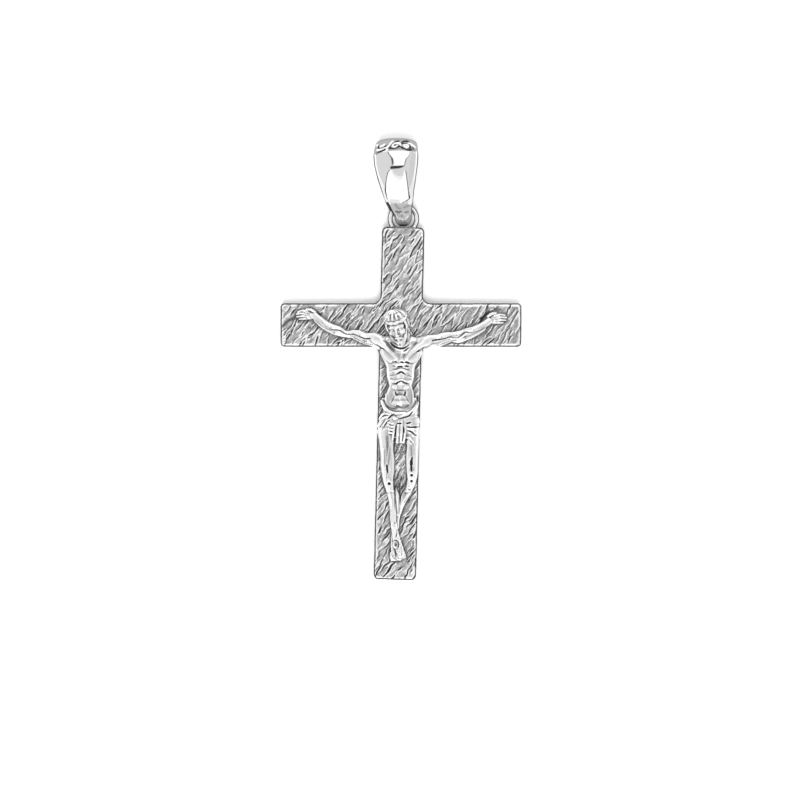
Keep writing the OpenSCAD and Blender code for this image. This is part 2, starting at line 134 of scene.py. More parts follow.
class Clay:
    """A block of clay: distances in mm to its surface on a regular grid, negative inside the metal."""

    def __init__(self, low, high, voxel):
        self.low, self.voxel = np.array(low, float), voxel
        self.shape = tuple(int(np.ceil(s / voxel)) + 1 for s in np.array(high, float) - self.low)
        self.field = np.full(self.shape, FAR, np.float32)
        self.place(np.zeros(3), np.eye(3), 1.0)

    def place(self, origin, turn, size):
        """The frame in which the next shapes are given: origin, axes as columns and unit in mm."""
        self.origin, self.turn, self.size = np.array(origin, float), np.array(turn, float), size

    def axis(self, k, first=0, last=None):
        """Coordinates of the grid's planes along one axis, in mm."""
        last = self.shape[k] if last is None else last
        return self.low[k] + self.voxel * np.arange(first, last, dtype=np.float32)

    def window(self, points, reach):
        """The part of the grid round some points of the frame, and the frame's coordinates in it."""
        world = np.atleast_2d(points) @ self.turn.T * self.size + self.origin
        reach = np.max(reach) * self.size
        a = np.clip(np.floor((world.min(0) - reach - self.low) / self.voxel).astype(int), 0, self.shape)
        b = np.clip(np.ceil((world.max(0) + reach - self.low) / self.voxel).astype(int) + 1, 0, self.shape)
        axes = [self.axis(k, a[k], b[k]) - self.origin[k] for k in range(3)]
        x, y, z = np.meshgrid(*axes, indexing="ij", sparse=True)
        if not np.allclose(self.turn, np.eye(3)):
            t = self.turn.astype(np.float32) / self.size
            x, y, z = (x * t[0, k] + y * t[1, k] + z * t[2, k] for k in range(3))
        return tuple(slice(i, j) for i, j in zip(a, b)), (x, y, z)

    def merge(self, part, d, soft, cut=False):
        """Adds a shape to the clay, or cuts it out, with a smooth seam; d and soft in the frame's unit."""
        f, d, soft = self.field[part], d * self.size, max(soft * self.size, 1e-3)
        if f.size == 0:
            return
        if cut:
            f = -f
        h = np.clip(0.5 + 0.5 * (f - d) / soft, 0, 1)
        f = f + (d - f) * h - soft * h * (1 - h)
        self.field[part] = -f if cut else f

    def pad(self, centre, radii, soft=0.1, turn=0.0, power=2.0, cut=False):
        """An ellipsoid, turned about Z by degrees; a power over 2 makes it fuller and flatter on top."""
        part, (x, y, z) = self.window(centre, max(radii) + soft + 0.1 / self.size)
        c, s = np.cos(np.radians(turn)), np.sin(np.radians(turn))
        x, y, z = x - centre[0], y - centre[1], z - centre[2]
        u, v, w = (x * c + y * s) / radii[0], (y * c - x * s) / radii[1], z / radii[2]
        if power == 2.0:
            k = np.sqrt(u * u + v * v + w * w)
            slope = np.sqrt((u / radii[0]) ** 2 + (v / radii[1]) ** 2 + (w / radii[2]) ** 2)
            d = k * (k - 1) / np.maximum(slope, 1e-6)
        else:
            k = ((u * u + v * v) ** (power / 2) + np.abs(w) ** power) ** (1 / power)
            d = (k - 1) * min(radii)
        self.merge(part, d, soft, cut)

    def bar(self, rows, soft=0.1, steps=4, cut=False):
        """A round bar through rows of x, y, z and radius."""
        rows = spaced(rows, steps)
        part, p = self.window(rows[:, :3], rows[:, 3].max() + soft + 0.1 / self.size)
        best = None
        for a, b in zip(rows[:-1], rows[1:]):
            d, share = segment_distance(p, a[:3], b[:3])
            d = d - (a[3] + share * (b[3] - a[3]))
            best = d if best is None else np.minimum(best, d)
        self.merge(part, best, soft, cut)

    def loft(self, rows, soft=0.1, power=2.4):
        """A body through rows of y, left x, right x, middle z and half depth, eased along y.

        A power over 2 makes it fuller in front of its middle; behind that it is round.
        """
        step, ease = 0.02, 9
        rows = np.asarray(rows, float)
        rows = rows[np.argsort(rows[:, 0])]
        ys = np.arange(rows[0, 0], rows[-1, 0] + 1e-6, step)
        kernel = np.hanning(2 * ease + 3)[1:-1]
        kernel /= kernel.sum()
        cols = [np.interp(ys, rows[:, 0], rows[:, k]) for k in range(1, 5)]
        cols = [np.convolve(np.pad(c, ease, mode="edge"), kernel, "valid") for c in cols]
        corners = [[x, y, z + s * h] for y, a, b, z, h in rows for x in (a, b) for s in (-1, 1)]
        part, (x, y, z) = self.window(corners, soft + 0.1)
        cols = [np.interp(y.ravel(), ys, c).reshape(y.shape).astype(np.float32) for c in cols]
        left, right, mid, deep = cols
        wide = (right - left) / 2
        u, v = np.abs(x - (left + right) / 2) / wide, np.abs(z - mid) / deep
        power = np.where(z < mid, 2.0, power)
        d = ((u**power + v**power) ** (1 / power) - 1) * np.minimum(wide, deep)
        self.merge(part, np.maximum(d, np.maximum(rows[0, 0] - y, y - rows[-1, 0])), soft)

    def slab(self, corners, height, lean, soft=0.05):
        """A plate with corners x, y anticlockwise, and a flat front that leans to +X and +Y by degrees."""
        edge = 0.06
        corners = np.array(corners, float)
        middle = corners.mean(axis=0)
        reach = [(*c, z) for c in corners for z in (0, height + 0.3)]
        part, (x, y, z) = self.window(reach, soft + 0.1)
        fall = np.tan(np.radians(lean))
        front = z - height + fall[0] * (x - middle[0]) + fall[1] * (y - middle[1])
        side = -FAR
        for a, b in zip(corners, np.roll(corners, -1, axis=0)):
            out = np.array([b[1] - a[1], a[0] - b[0]]) / np.linalg.norm(b - a)
            side = np.maximum(side, (x - a[0]) * out[0] + (y - a[1]) * out[1])
        self.merge(part, rounded(side, front, edge), soft)

    def top(self, x, y):
        """Height of the clay's front at a place seen from the front."""
        i, j = (int(round((p - q) / self.voxel)) for p, q in zip((x, y), self.low))
        column = self.field[i, j]
        inside = np.nonzero(column < 0)[0]
        if not len(inside):
            return self.low[2]
        k = inside[-1]
        return self.low[2] + self.voxel * (k + column[k] / (column[k] - column[k + 1]))

    def drawn(self, points, radius, height, soft=0.05):
        """A stroke on the front through x, y: it stands a height over the clay, or below 0 is cut in."""
        flat = spaced(points, 4)
        last = len(flat) - 1
        share = np.array([min(1.0, 0.4 + 2.4 * min(k, last - k) / last) for k in range(last + 1)])
        z = np.array([self.top(*p) for p in flat])
        if last > 2:
            z[1:-1] = (z[:-2] + z[1:-1] + z[2:]) / 3
        r = radius * share
        z += height * share - np.sign(height) * r
        self.bar(np.column_stack([flat, z, r]), soft, steps=1, cut=height < 0)

    def strokes(self, *rows):
        """Strokes drawn one after the other: points, radius, height and, for some, the seam."""
        for row in rows:
            self.drawn(*row)

    def flat_back(self, height):
        """Cuts the back off flat at a height."""
        z = self.axis(2)
        np.maximum(self.field, (height - z)[None, None, :], out=self.field)

    def surface(self):
        """Points in mm and quads of the clay's surface, by surface nets."""
        f = self.field
        for axis in range(3):
            np.moveaxis(f, axis, 0)[[0, -1]] = FAR
        inside = f < 0
        n = [s - 1 for s in f.shape]
        corners = [(i, j, k) for i in (0, 1) for j in (0, 1) for k in (0, 1)]
        total = sum(inside[i : i + n[0], j : j + n[1], k : k + n[2]].astype(np.int8) for i, j, k in corners)
        cells = np.argwhere((total > 0) & (total < 8))
        number = np.full(n, -1, np.int32)
        number[tuple(cells.T)] = np.arange(len(cells))
        points, count = np.zeros((len(cells), 3)), np.zeros(len(cells))
        units = np.eye(3, dtype=int)
        for axis in range(3):
            for a in [np.array(c) for c in corners if c[axis] == 0]:
                b = a + units[axis]
                fa, fb = f[tuple((cells + a).T)], f[tuple((cells + b).T)]
                cross = (fa < 0) != (fb < 0)
                share = fa[cross] / (fa[cross] - fb[cross])
                points[cross] += a + share[:, None] * (b - a)
                count[cross] += 1
        points = (cells + points / count[:, None]) * self.voxel + self.low
        quads = []
        for axis in range(3):
            u, v = [units[k] for k in range(3) if k != axis]
            a, b = inside, np.roll(inside, -1, axis)
            for leaves in (True, False):
                at = np.argwhere((a & ~b) if leaves else (~a & b))
                q = np.stack([number[tuple((at - s).T)] for s in (u + v, v, 0 * u, u)], axis=1)
                quads.append(q[:, ::-1] if (axis == 1) == leaves else q)
        return points, np.concatenate(quads)

    def plan_distance(self, places, height):
        """Distance, seen from the front, from places to the clay up to a height over its lowest plane."""
        plan = self.field[:, :, : int(height / self.voxel)].min(axis=2)
        i = np.round((places - self.low[:2]) / self.voxel).astype(int)
        inside = ((i >= 0) & (i < plan.shape)).all(axis=1)
        i = np.clip(i, 0, np.array(plan.shape) - 1)
        return np.where(inside, plan[i[:, 0], i[:, 1]], FAR)

    def hollows(self, points, reach):
        """How deep in a hollow each point lies: 0 on a flat, up to 1 in a groove, down to -1 on a ridge."""
        cells = max(1, int(round(reach / self.voxel)))
        solid = blurred(np.clip(0.5 - self.field / self.voxel, 0, 1), cells)
        return 2 * blended(solid, (points - self.low) / self.voxel) - 1


def mesh_object(name, points, faces):
    """An object of points in mm and faces of equal size, shaded smooth."""
    mesh = bpy.data.meshes.new(name)
    points, faces = np.asarray(points), np.asarray(faces)
    sides = faces.shape[1]
    mesh.vertices.add(len(points))
    mesh.vertices.foreach_set("co", (points * MM).astype(np.float32).ravel())
    mesh.loops.add(faces.size)
    mesh.loops.foreach_set("vertex_index", faces.astype(np.int32).ravel())
    mesh.polygons.add(len(faces))
    mesh.polygons.foreach_set("loop_start", np.arange(0, faces.size, sides, dtype=np.int32))
    mesh.update(calc_edges=True)
    mesh.polygons.foreach_set("use_smooth", np.ones(len(faces), bool))
    obj = bpy.data.objects.new(name, mesh)
    bpy.context.scene.collection.objects.link(obj)
    return obj


def mesh_points(obj):
    """The points of an object's mesh in mm."""
    points = np.empty(len(obj.data.vertices) * 3, np.float32)
    obj.data.vertices.foreach_get("co", points)
    return points.reshape(-1, 3) / MM


def thinned(obj, triangles):
    """Merges faces where the surface is flattest, until so many triangles are left."""
    now = sum(len(p.vertices) - 2 for p in obj.data.polygons)
    if now <= triangles:
        return
    modifier = obj.modifiers.new("thin", "DECIMATE")
    modifier.ratio = triangles / now
    graph = bpy.context.evaluated_depsgraph_get()
    mesh = bpy.data.meshes.new_from_object(obj.evaluated_get(graph))
    obj.modifiers.clear()
    obj.data = mesh
    mesh.polygons.foreach_set("use_smooth", np.ones(len(mesh.polygons), bool))


def store(obj, name, values):
    """Keeps a number per point of the mesh for the material: tarnish with painted light and shade, -1
    polished or a painted highlight, 0 dull and 1 black or painted shade.
    """
    attribute = obj.data.attributes.new(name, "FLOAT", "POINT")
    attribute.data.foreach_set("value", np.asarray(values, np.float32))


def sculpted(name, clay, triangles):
    """An object of the clay's surface, of at most so many triangles."""
    obj = mesh_object(name, *clay.surface())
    thinned(obj, triangles)
    return obj


# Cross, in mm, as in the frame

CROSS_LOW, CROSS_HIGH = (np.array(corner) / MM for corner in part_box("cross"))
CROSS_W = CROSS_HIGH[0] - CROSS_LOW[0]
CROSS_VOXEL = 0.054
CROSS_TRIANGLES = 190000
HEAD_L = 9.8
FOOT_L = 25.49
POST_W = 4.25
ARM_H = 4.35
PLATE_T = 1.7
POST_LEAN = np.radians(1.4)
CROSSING_R = 0.8
ARM_END_R = 0.4
POST_END_R = 0.5
EDGE_R = 0.14
RIM_H = 0.07
RIM_IN = 0.2
RIM_W = 0.07
RING_WIRE = 0.5
RING_R = 1.33
RING_AT = (0.24, 10.65, 1.0)
# Half width of the painted highlight along the ring's wire
RING_HIGHLIGHT_W = 0.13
BARK_ANGLE = 54
BARK_SEED = 11
BARK_STROKES = 360
BARK_LENGTHS = (0.6, 3.2)
BARK_WIDTHS = (0.052, 0.066)
BARK_HEIGHTS = (0.06, 0.12)
# How far the strokes' directions spread in degrees, and how far they bend and shake in radians
BARK_SPREAD = 6
BARK_BEND = 0.25
BARK_SHAKE = 0.22
# Low on the upright the strokes stand steeper by some degrees, and lower still their grooves are deeper
STEEPER_BELOW = -6
STEEPER = 5
DEEPER_BELOW = -14
DEEPER = 1.5
# Middle and radii of the painted light on the plate between the thighs
LEG_GAP_LIGHT = (0, -14, 0.7, 2.6)
# Painted shadows by the forearms and hands: points, width, tone
PAINTED_SHADOWS = [
    ([(-8.85, 1.5), (-8.45, 1.25), (-8.1, 1.0)], 0.12, 1.0),
    ([(7.95, 0.62), (8.4, 0.98), (8.85, 1.35)], 0.1, 1.0),
    ([(-11.85, -0.1), (-11.3, 0.42), (-10.75, 0.7), (-10.4, 1.15)], 0.13, 0.55),
    ([(9.3, 1.68), (9.7, 1.5), (10.0, 1.55)], 0.09, 0.45),
    ([(0.3, 2.9), (0.7, 3.3), (1.1, 3.6)], 0.1, 0.5),
]


def box_distance(x, y, half_w, half_h, radius):
    """Distance to an upright rectangle round the origin, with round corners."""
    return rounded(np.abs(x) - half_w, np.abs(y) - half_h, radius)


def cross_outline(x, y):
    """Distance to the cross's outline seen from the front, negative inside."""
    wave = 0.02 * np.sin(1.9 * x + 0.7) * np.sin(1.3 * y) + 0.015 * np.sin(3.7 * y + 1.1) * np.sin(2.3 * x)
    arms = box_distance(x, y, CROSS_W / 2, ARM_H / 2, ARM_END_R)
    u = x * np.cos(POST_LEAN) - y * np.sin(POST_LEAN)
    v = x * np.sin(POST_LEAN) + y * np.cos(POST_LEAN)
    post = box_distance(u, v - (HEAD_L - FOOT_L) / 2, POST_W / 2, (HEAD_L + FOOT_L) / 2, POST_END_R)
    return np.maximum(wave, 0) - rounded(-arms, -post, CROSSING_R)


def spread_starts(rng, count):
    """Evenly scattered places on the cross, each the best of a few; gaps along the strokes count less."""
    angle = np.radians(BARK_ANGLE)
    squeeze = np.array([[np.cos(angle) / 3.5, np.sin(angle) / 3.5], [-np.sin(angle), np.cos(angle)]])
    starts = []
    while len(starts) < count:
        tries = rng.uniform([-CROSS_W / 2, -FOOT_L], [CROSS_W / 2, HEAD_L], (14, 2))
        tries = tries[cross_outline(tries[:, 0], tries[:, 1]) < -0.1]
        if len(tries) and starts:
            apart = (tries[:, None] - np.array(starts)[None]) @ squeeze.T
            tries = tries[[np.argmax(np.linalg.norm(apart, axis=2).min(axis=1))]]
        starts.extend(tries[:1])
    return starts


def smeared(noise, reach):
    """Noise drawn out along the bark, of unit spread."""
    angle = np.radians(BARK_ANGLE)
    out = 0
    for k in range(-int(reach), int(reach) + 1):
        out = out + np.roll(noise, (round(k * np.cos(angle)), round(k * np.sin(angle))), (0, 1))
    return out / out.std()


def bark_path(rng, start):
    """Points along a stroke of the bark: a bent, shaky line with its middle at the start."""
    pieces = 8
    steeper = STEEPER if start[1] < STEEPER_BELOW else 0
    angle = np.radians(BARK_ANGLE + steeper + rng.normal(0, BARK_SPREAD))
    length = rng.uniform(*BARK_LENGTHS)
    bend = rng.normal(0, BARK_BEND)
    path = [start]
    for k in range(pieces):
        way = angle + bend * (k / pieces - 0.5) + rng.normal(0, BARK_SHAKE)
        path.append(path[-1] + length / pieces * np.array([np.cos(way), np.sin(way)]))
    return spaced(np.array(path) - (path[-1] - start) / 2, 2)


def bark_height(x, y, outline):
    """Height of the bark over the plate, and its tarnish: tapered ridges, each with a groove beside it."""
    rng = np.random.default_rng(BARK_SEED)
    ridges = np.zeros(outline.shape, np.float32)
    grooves = np.zeros(outline.shape, np.float32)
    step = x[1, 0] - x[0, 0]
    corner = np.array([x[0, 0], y[0, 0]])
    for start in spread_starts(rng, BARK_STROKES):
        path = bark_path(rng, start)
        width = rng.uniform(*BARK_WIDTHS)
        tall = rng.uniform(*BARK_HEIGHTS)
        side = rng.choice([-1, 1])
        deep = 0.035 + 0.07 * rng.uniform(0, 1) ** 2
        deep *= DEEPER if start[1] < DEEPER_BELOW else 1
        first = np.maximum((path.min(axis=0) - 4 * width - corner) / step, 0).astype(int)
        last = np.maximum((path.max(axis=0) + 4 * width - corner) / step, 0).astype(int) + 2
        part = (slice(first[0], last[0]), slice(first[1], last[1]))
        px, py = x[part], y[part]
        if px.size == 0:
            continue
        for number, (a, b) in enumerate(zip(path[:-1], path[1:])):
            d, share = segment_distance((px, py), a, b)
            taper = np.sqrt(np.maximum(np.sin(np.pi * (number + share) / (len(path) - 1)), 0))
            ahead = (b - a) / np.linalg.norm(b - a)
            across = (py - a[1]) * ahead[0] - (px - a[0]) * ahead[1]
            beside = np.abs(across * side - 1.8 * width) + d - np.abs(across)
            ridges[part] = np.maximum(ridges[part], tall * taper * fading(d, width))
            grooves[part] = np.maximum(grooves[part], deep * taper * fading(beside, 0.9 * width))
    streaks = smeared(blurred(rng.normal(0, 1, outline.shape), 1, 1), 0.22 / step)
    bright = ramp(ridges, 0, 0.08) ** 1.3
    dark = ramp(grooves, 0, 0.065) * (1 - bright)
    bark = 0.012 * streaks + ridges - grooves * (1 - ridges / 0.15)
    # the worn rim: bright, and broken by patches and grooves
    patches = blurred(rng.normal(0, 1, outline.shape), 5, 2)
    whole = np.clip(0.72 + 0.45 * patches / patches.std(), 0.1, 1) * (1 - 0.8 * dark)
    rim = fading(outline + RIM_IN, RIM_W) * whole
    height = mixed(bark * ramp(outline, -0.1, -0.2), rim, RIM_H)
    tarnish_and_painted_light = np.clip(0.1 * streaks - bright + dark, -1, 1)
    return np.clip(height, -0.1, 0.14), mixed(tarnish_and_painted_light, rim, -1)


def make_cross(figure):
    """The plate with its bark and the ring on its top end; painted shade darkens the plate close to the
    figure.
    """
    spare = 0.2
    low = (*(CROSS_LOW[:2] - spare), -0.12)
    high = (*(CROSS_HIGH[:2] + spare), 2.0)
    clay = Clay(low, high, CROSS_VOXEL)
    x, y = np.meshgrid(clay.axis(0), clay.axis(1), indexing="ij")
    outline = cross_outline(x, y)
    bark, stain = bark_height(x, y, outline)
    z = clay.axis(2)
    plate = rounded(outline[:, :, None], z - (PLATE_T + bark[:, :, None]), EDGE_R)
    clay.field = np.maximum(plate, -z).astype(np.float32)
    part, (x, y, z) = clay.window(RING_AT, RING_R + RING_WIRE + 0.3)
    across = np.hypot(x - RING_AT[0], y - RING_AT[1]) - RING_R
    clay.merge(part, np.hypot(across, z - RING_AT[2]) - RING_WIRE / 2, 0.12)
    obj = sculpted("silver_cross", clay, CROSS_TRIANGLES)
    p = mesh_points(obj)
    x, y, z = p.T
    outline = cross_outline(x, y)
    from_ring = np.hypot(x - RING_AT[0], y - RING_AT[1]) - RING_R
    on_plate = (outline < 0.1) & (from_ring > RING_WIRE / 2)
    on_front = z > PLATE_T - 0.12
    tarnish_and_painted_light = np.where(on_plate & on_front, blended(stain, (p[:, :2] - clay.low[:2]) / clay.voxel), 0)
    # painted shade on the plate round the figure, lifted by painted light in the gap between the thighs
    figure_shade = fading(np.maximum(figure.plan_distance(p[:, :2], 1.0), 0), 0.26) * on_plate
    gap_light = np.exp(-(((x - LEG_GAP_LIGHT[0]) / LEG_GAP_LIGHT[2]) ** 4 + ((y - LEG_GAP_LIGHT[1]) / LEG_GAP_LIGHT[3]) ** 4))
    tarnish_and_painted_light = mixed(tarnish_and_painted_light, 0.8 * figure_shade, mixed(0.42, gap_light, 0))
    # painted shadows in the corners by the forearms and hands
    for line, width, tone in PAINTED_SHADOWS:
        tarnish_and_painted_light = mixed(tarnish_and_painted_light, on_line(line, width, x, y), tone)
    # a little darker on the arms, and painted light between the thighs
    on_arms = np.abs(x) > POST_W / 2 + 0.175
    tarnish_and_painted_light = tarnish_and_painted_light + 0.05 * on_arms - 0.35 * gap_light
    # painted shade on the side walls: dark at the front edge and lighter below it
    wall_shade = ramp(outline, -0.15, -0.1) * on_plate
    tarnish_and_painted_light = mixed(tarnish_and_painted_light, wall_shade, mixed(0.72, ramp(z, PLATE_T - 0.16, PLATE_T - 0.28), 0.2))
    # a painted highlight along the ring's wire, painted dark to either side of it
    on_ring = (outline > 0.02) & (y > HEAD_L - 0.3)
    ring_highlight = 1 - ramp(np.abs(from_ring), RING_HIGHLIGHT_W, RING_HIGHLIGHT_W + 0.04)
    tarnish_and_painted_light = np.where(on_ring, mixed(0.8, ring_highlight, -1), tarnish_and_painted_light)
    store(obj, "tarnish_and_painted_light", np.clip(tarnish_and_painted_light, -1, 1))
    return obj


# Bail


def hull_outline(points):
    """Corners of the convex hull of points in a plane, anticlockwise."""
    points = sorted(map(tuple, points))
    chains = []
    for row in (points, points[::-1]):
        chain = []
        for p in row:
            while len(chain) > 1:
                if np.cross(np.subtract(chain[-1], chain[-2]), np.subtract(p, chain[-1])) > 0:
                    break
                chain.pop()
            chain.append(p)
        chains += chain[:-1]
    return np.array(chains)


def walked(loop, step):
    """A closed outline with points at even distances."""
    loop = np.vstack([loop, loop[:1]])
    length = np.concatenate([[0], np.cumsum(np.linalg.norm(np.diff(loop, axis=0), axis=1))])
    at = np.linspace(0, length[-1], int(length[-1] / step), endpoint=False)
    return np.column_stack([np.interp(at, length, loop[:, k]) for k in range(2)])


BAIL_L = 8.795
BAIL_W = 4.5
BAIL_Y = 9.9
BAIL_H = 4.6
BAIL_LOW_R = 1.15
BAIL_TOP_L = 2.9
BAIL_FRONT_L = 4.4
BAIL_T = 0.45
BAIL_EDGE = 0.2
BAIL_DOME = 0.38
BAIL_LEAN = 0.75
BAND_POWER = 0.77
TIP_AT = (0.14, 11.2)
TIP_R = 0.72
# Lower edge of the band of scrolls: its height at the sides, its rise in the middle and its half width
SCROLLS_Y = 16.93
SCROLLS_RISE = 0.4
SCROLLS_HALF_W = 2.3452
SCROLL_W = 0.085
SCROLL_H = 0.06
GROOVE_W = 0.075
GROOVE_DEPTH = 0.1
# Height up the bail below which its lower end has painted reflections
LOW_END = 12.2
# Width over which the painted highlight and painted dark outline change at an edge, as a share of the half
# width
EDGE_BLEND = 0.02
# Columns: share of the length from the lower bend, share of the half width, share of the lean
BAND = np.array([
    (0, 0.14, 1), (0.006, 0.21, 1), (0.02, 0.285, 1), (0.045, 0.35, 1), (0.075, 0.385, 1),
    (0.1, 0.4, 0.97), (0.18, 0.5, 0.66), (0.27, 0.62, 0.42), (0.41, 0.74, 0.23), (0.55, 0.87, 0.09),
    (0.69, 0.97, 0.01), (0.81, 1, 0), (0.91, 0.98, 0.02), (1, 0.93, 0.1),
])
# Scrolls on the top bend, seen from the front: raised lines, and the grooves beside them
SCROLLS = [
    [(-2.4, 17.88), (-2.3, 17.96)], [(-1.65, 17.97), (-1.85, 17.83), (-2.05, 17.77)],
    [(-2.35, 17.4), (-2.0, 17.52), (-1.7, 17.62), (-1.45, 17.65), (-1.38, 17.5), (-1.5, 17.32),
     (-1.75, 17.22)],
    [(-1.45, 17.65), (-1.25, 17.77), (-1.1, 17.95), (-0.92, 18.2), (-0.82, 18.28)],
    [(-0.3, 18.15), (-0.6, 18.12), (-0.82, 17.98), (-0.84, 17.8), (-0.65, 17.73), (-0.45, 17.85)],
    [(-0.4, 18.12), (-0.1, 18.06), (0.0, 17.92)],
    [(0.25, 17.95), (0.4, 17.75), (0.6, 17.7), (0.74, 17.88), (0.62, 18.0), (0.4, 18.0)],
    [(0.72, 18.14), (0.88, 18.1), (1.05, 17.95), (1.28, 17.82), (1.36, 17.7)],
]
GROOVES = [
    [(-2.25, 17.95), (-2.25, 17.7), (-2.1, 17.64), (-1.9, 17.64), (-1.7, 17.75), (-1.55, 17.85)],
    [(-2.25, 17.25), (-2.1, 17.3), (-1.9, 17.38), (-1.65, 17.5), (-1.6, 17.65)],
    [(-1.17, 17.72), (-1.05, 17.85), (-0.9, 18.05), (-0.7, 18.18), (-0.5, 18.28), (-0.25, 18.37)],
    [(-1.3, 17.66), (-1.0, 17.64), (-0.65, 17.64), (-0.45, 17.7), (-0.3, 17.78), (-0.1, 17.85),
     (0.05, 17.75), (0.2, 17.65)],
    [(-0.68, 17.96), (-0.58, 17.96)],
    [(0.05, 17.95), (0.07, 18.15), (0.25, 18.32), (0.5, 18.37), (0.7, 18.3), (0.8, 18.2)],
    [(0.2, 18.07), (0.5, 18.06), (0.75, 18.05), (0.88, 17.9), (0.9, 17.7), (0.85, 17.5)],
    [(0.2, 17.65), (0.4, 17.6), (0.6, 17.5), (0.85, 17.42), (1.05, 17.5)], [(1.2, 17.68), (1.26, 17.64)],
]
# Painted reflections on the bail's lower end: lines and their tone
LOW_REFLECTIONS = [
    ([(-0.55, 12.0), (-0.32, 11.7), (-0.12, 11.6)], 0.13, 0.3),
    ([(0.3, 11.72), (0.55, 11.82), (0.8, 11.95)], 0.12, 0.3),
    ([(-0.52, 11.36), (-0.25, 11.27), (0.02, 11.33)], 0.06, 0.7),
    ([(0.42, 11.25), (0.72, 11.3)], 0.07, 0.5), ([(-0.5, 10.95), (0.1, 11.02), (0.7, 10.9)], 0.1, 0.1),
]
# Height up the bail and share of the half width at which its faces end and the painted highlight on the
# bevel begins
PANEL_END = [(13.3, 0.64), (14.0, 0.78), (15.0, 0.86), (17.5, 0.89)]


def scroll_relief(x, y):
    """Height of the scrolls over the band, how tarnished it is there, and where the band of scrolls is."""
    body = fading(line_distance(SCROLLS, x, y), SCROLL_W, 4)
    groove = fading(line_distance(GROOVES, x, y), GROOVE_W) * (1 - 0.5 * body)
    edge = SCROLLS_Y + SCROLLS_RISE * np.sqrt(np.maximum(1 - (x / SCROLLS_HALF_W) ** 2, 0))
    band = ramp(y, edge, edge + 0.08)
    tarnish_and_painted_light = mixed(mixed(0.32, body, -1), groove, 0.95)
    return band * (SCROLL_H * body - GROOVE_DEPTH * groove), tarnish_and_painted_light, band


def bail_side():
    """Points y, z of the bail's outline seen from the side, and the way out at each of them."""
    turn = np.linspace(0, 2 * np.pi, 720)
    low_bend = np.column_stack([BAIL_Y + BAIL_LOW_R * (1 + np.cos(turn)), BAIL_LOW_R * (1 + np.sin(turn))])
    reach = np.where(np.cos(turn) > 0, BAIL_TOP_L, BAIL_FRONT_L)
    top_y = BAIL_Y + BAIL_L - BAIL_TOP_L
    top_bend = np.column_stack([top_y + reach * np.cos(turn), BAIL_H / 2 * (1 + np.sin(turn))])
    side = walked(hull_outline(np.vstack([low_bend, top_bend])), 0.05)
    ahead = np.roll(side, -3, 0) - np.roll(side, 3, 0)
    return side, np.column_stack([ahead[:, 1], -ahead[:, 0]]) / np.linalg.norm(ahead, axis=1)[:, None]


def bail_width(y):
    """Half width and middle of the band at heights up the bail, as columns."""
    ys = np.linspace(BAIL_Y, BAIL_Y + BAIL_L, 400)
    share = (ys - BAIL_Y) / BAIL_L
    half = np.interp(share, BAND[:, 0], BAND[:, 1]) * BAIL_W / 2
    middle = RING_AT[0] - BAIL_LEAN * (1 - np.interp(share, BAND[:, 0], BAND[:, 2]))
    kernel = np.hanning(15) / np.hanning(15).sum()
    eased = [np.convolve(np.pad(v, 7, mode="edge"), kernel, "valid") for v in (half, middle)]
    return [np.interp(y, ys, v)[:, None] for v in eased]


def bail_shade_and_tarnish(x, y, middle, half, front, scrolls, band):
    """Painted reflections, highlights, dark outlines and shade on the bail's outside, with the tarnish of
    its scrolls: layers of a share and a tone, each laid over the last.
    """
    u = np.abs((x - middle) / half)
    panel = np.interp(y, *zip(*PANEL_END))
    # painted highlight on the bevel
    bevel_highlight = ramp(u, panel, panel + EDGE_BLEND) * ramp(y, LOW_END - 0.2, LOW_END - 0.1)
    # painted dark outline past these shares of the half width
    edge = np.where(y < LOW_END + 0.05, np.where(x < middle, 0.78, 0.92), 0.94)
    # painted shade in the crescent below the tip, with a painted highlight round it
    from_tip = np.hypot(x - TIP_AT[0], y - TIP_AT[1]) - TIP_R
    tip_shade = ramp(from_tip, 0, 0.1) * (y < TIP_AT[1] - 0.2)
    tip_highlight = fading(from_tip + 0.07, 0.06) * (y < TIP_AT[1] - 0.3)
    # painted reflections on the lower end, then the painted highlight, outline and shade, then the scrolls'
    # tarnish
    layers = [(ramp(y, LOW_END, LOW_END - 0.15) * front, 0.14)]
    layers += [(on_line(line, width, x, y) * front, tone) for line, width, tone in LOW_REFLECTIONS]
    layers += [(bevel_highlight, -1), (ramp(u, edge, edge + EDGE_BLEND), 1), (tip_shade, 0.3)]
    layers += [(tip_highlight * front, -0.15), (band, scrolls)]
    tarnish_and_painted_light = np.zeros(x.shape)
    for share, tone in layers:
        tarnish_and_painted_light = mixed(tarnish_and_painted_light, share, tone)
    return tarnish_and_painted_light


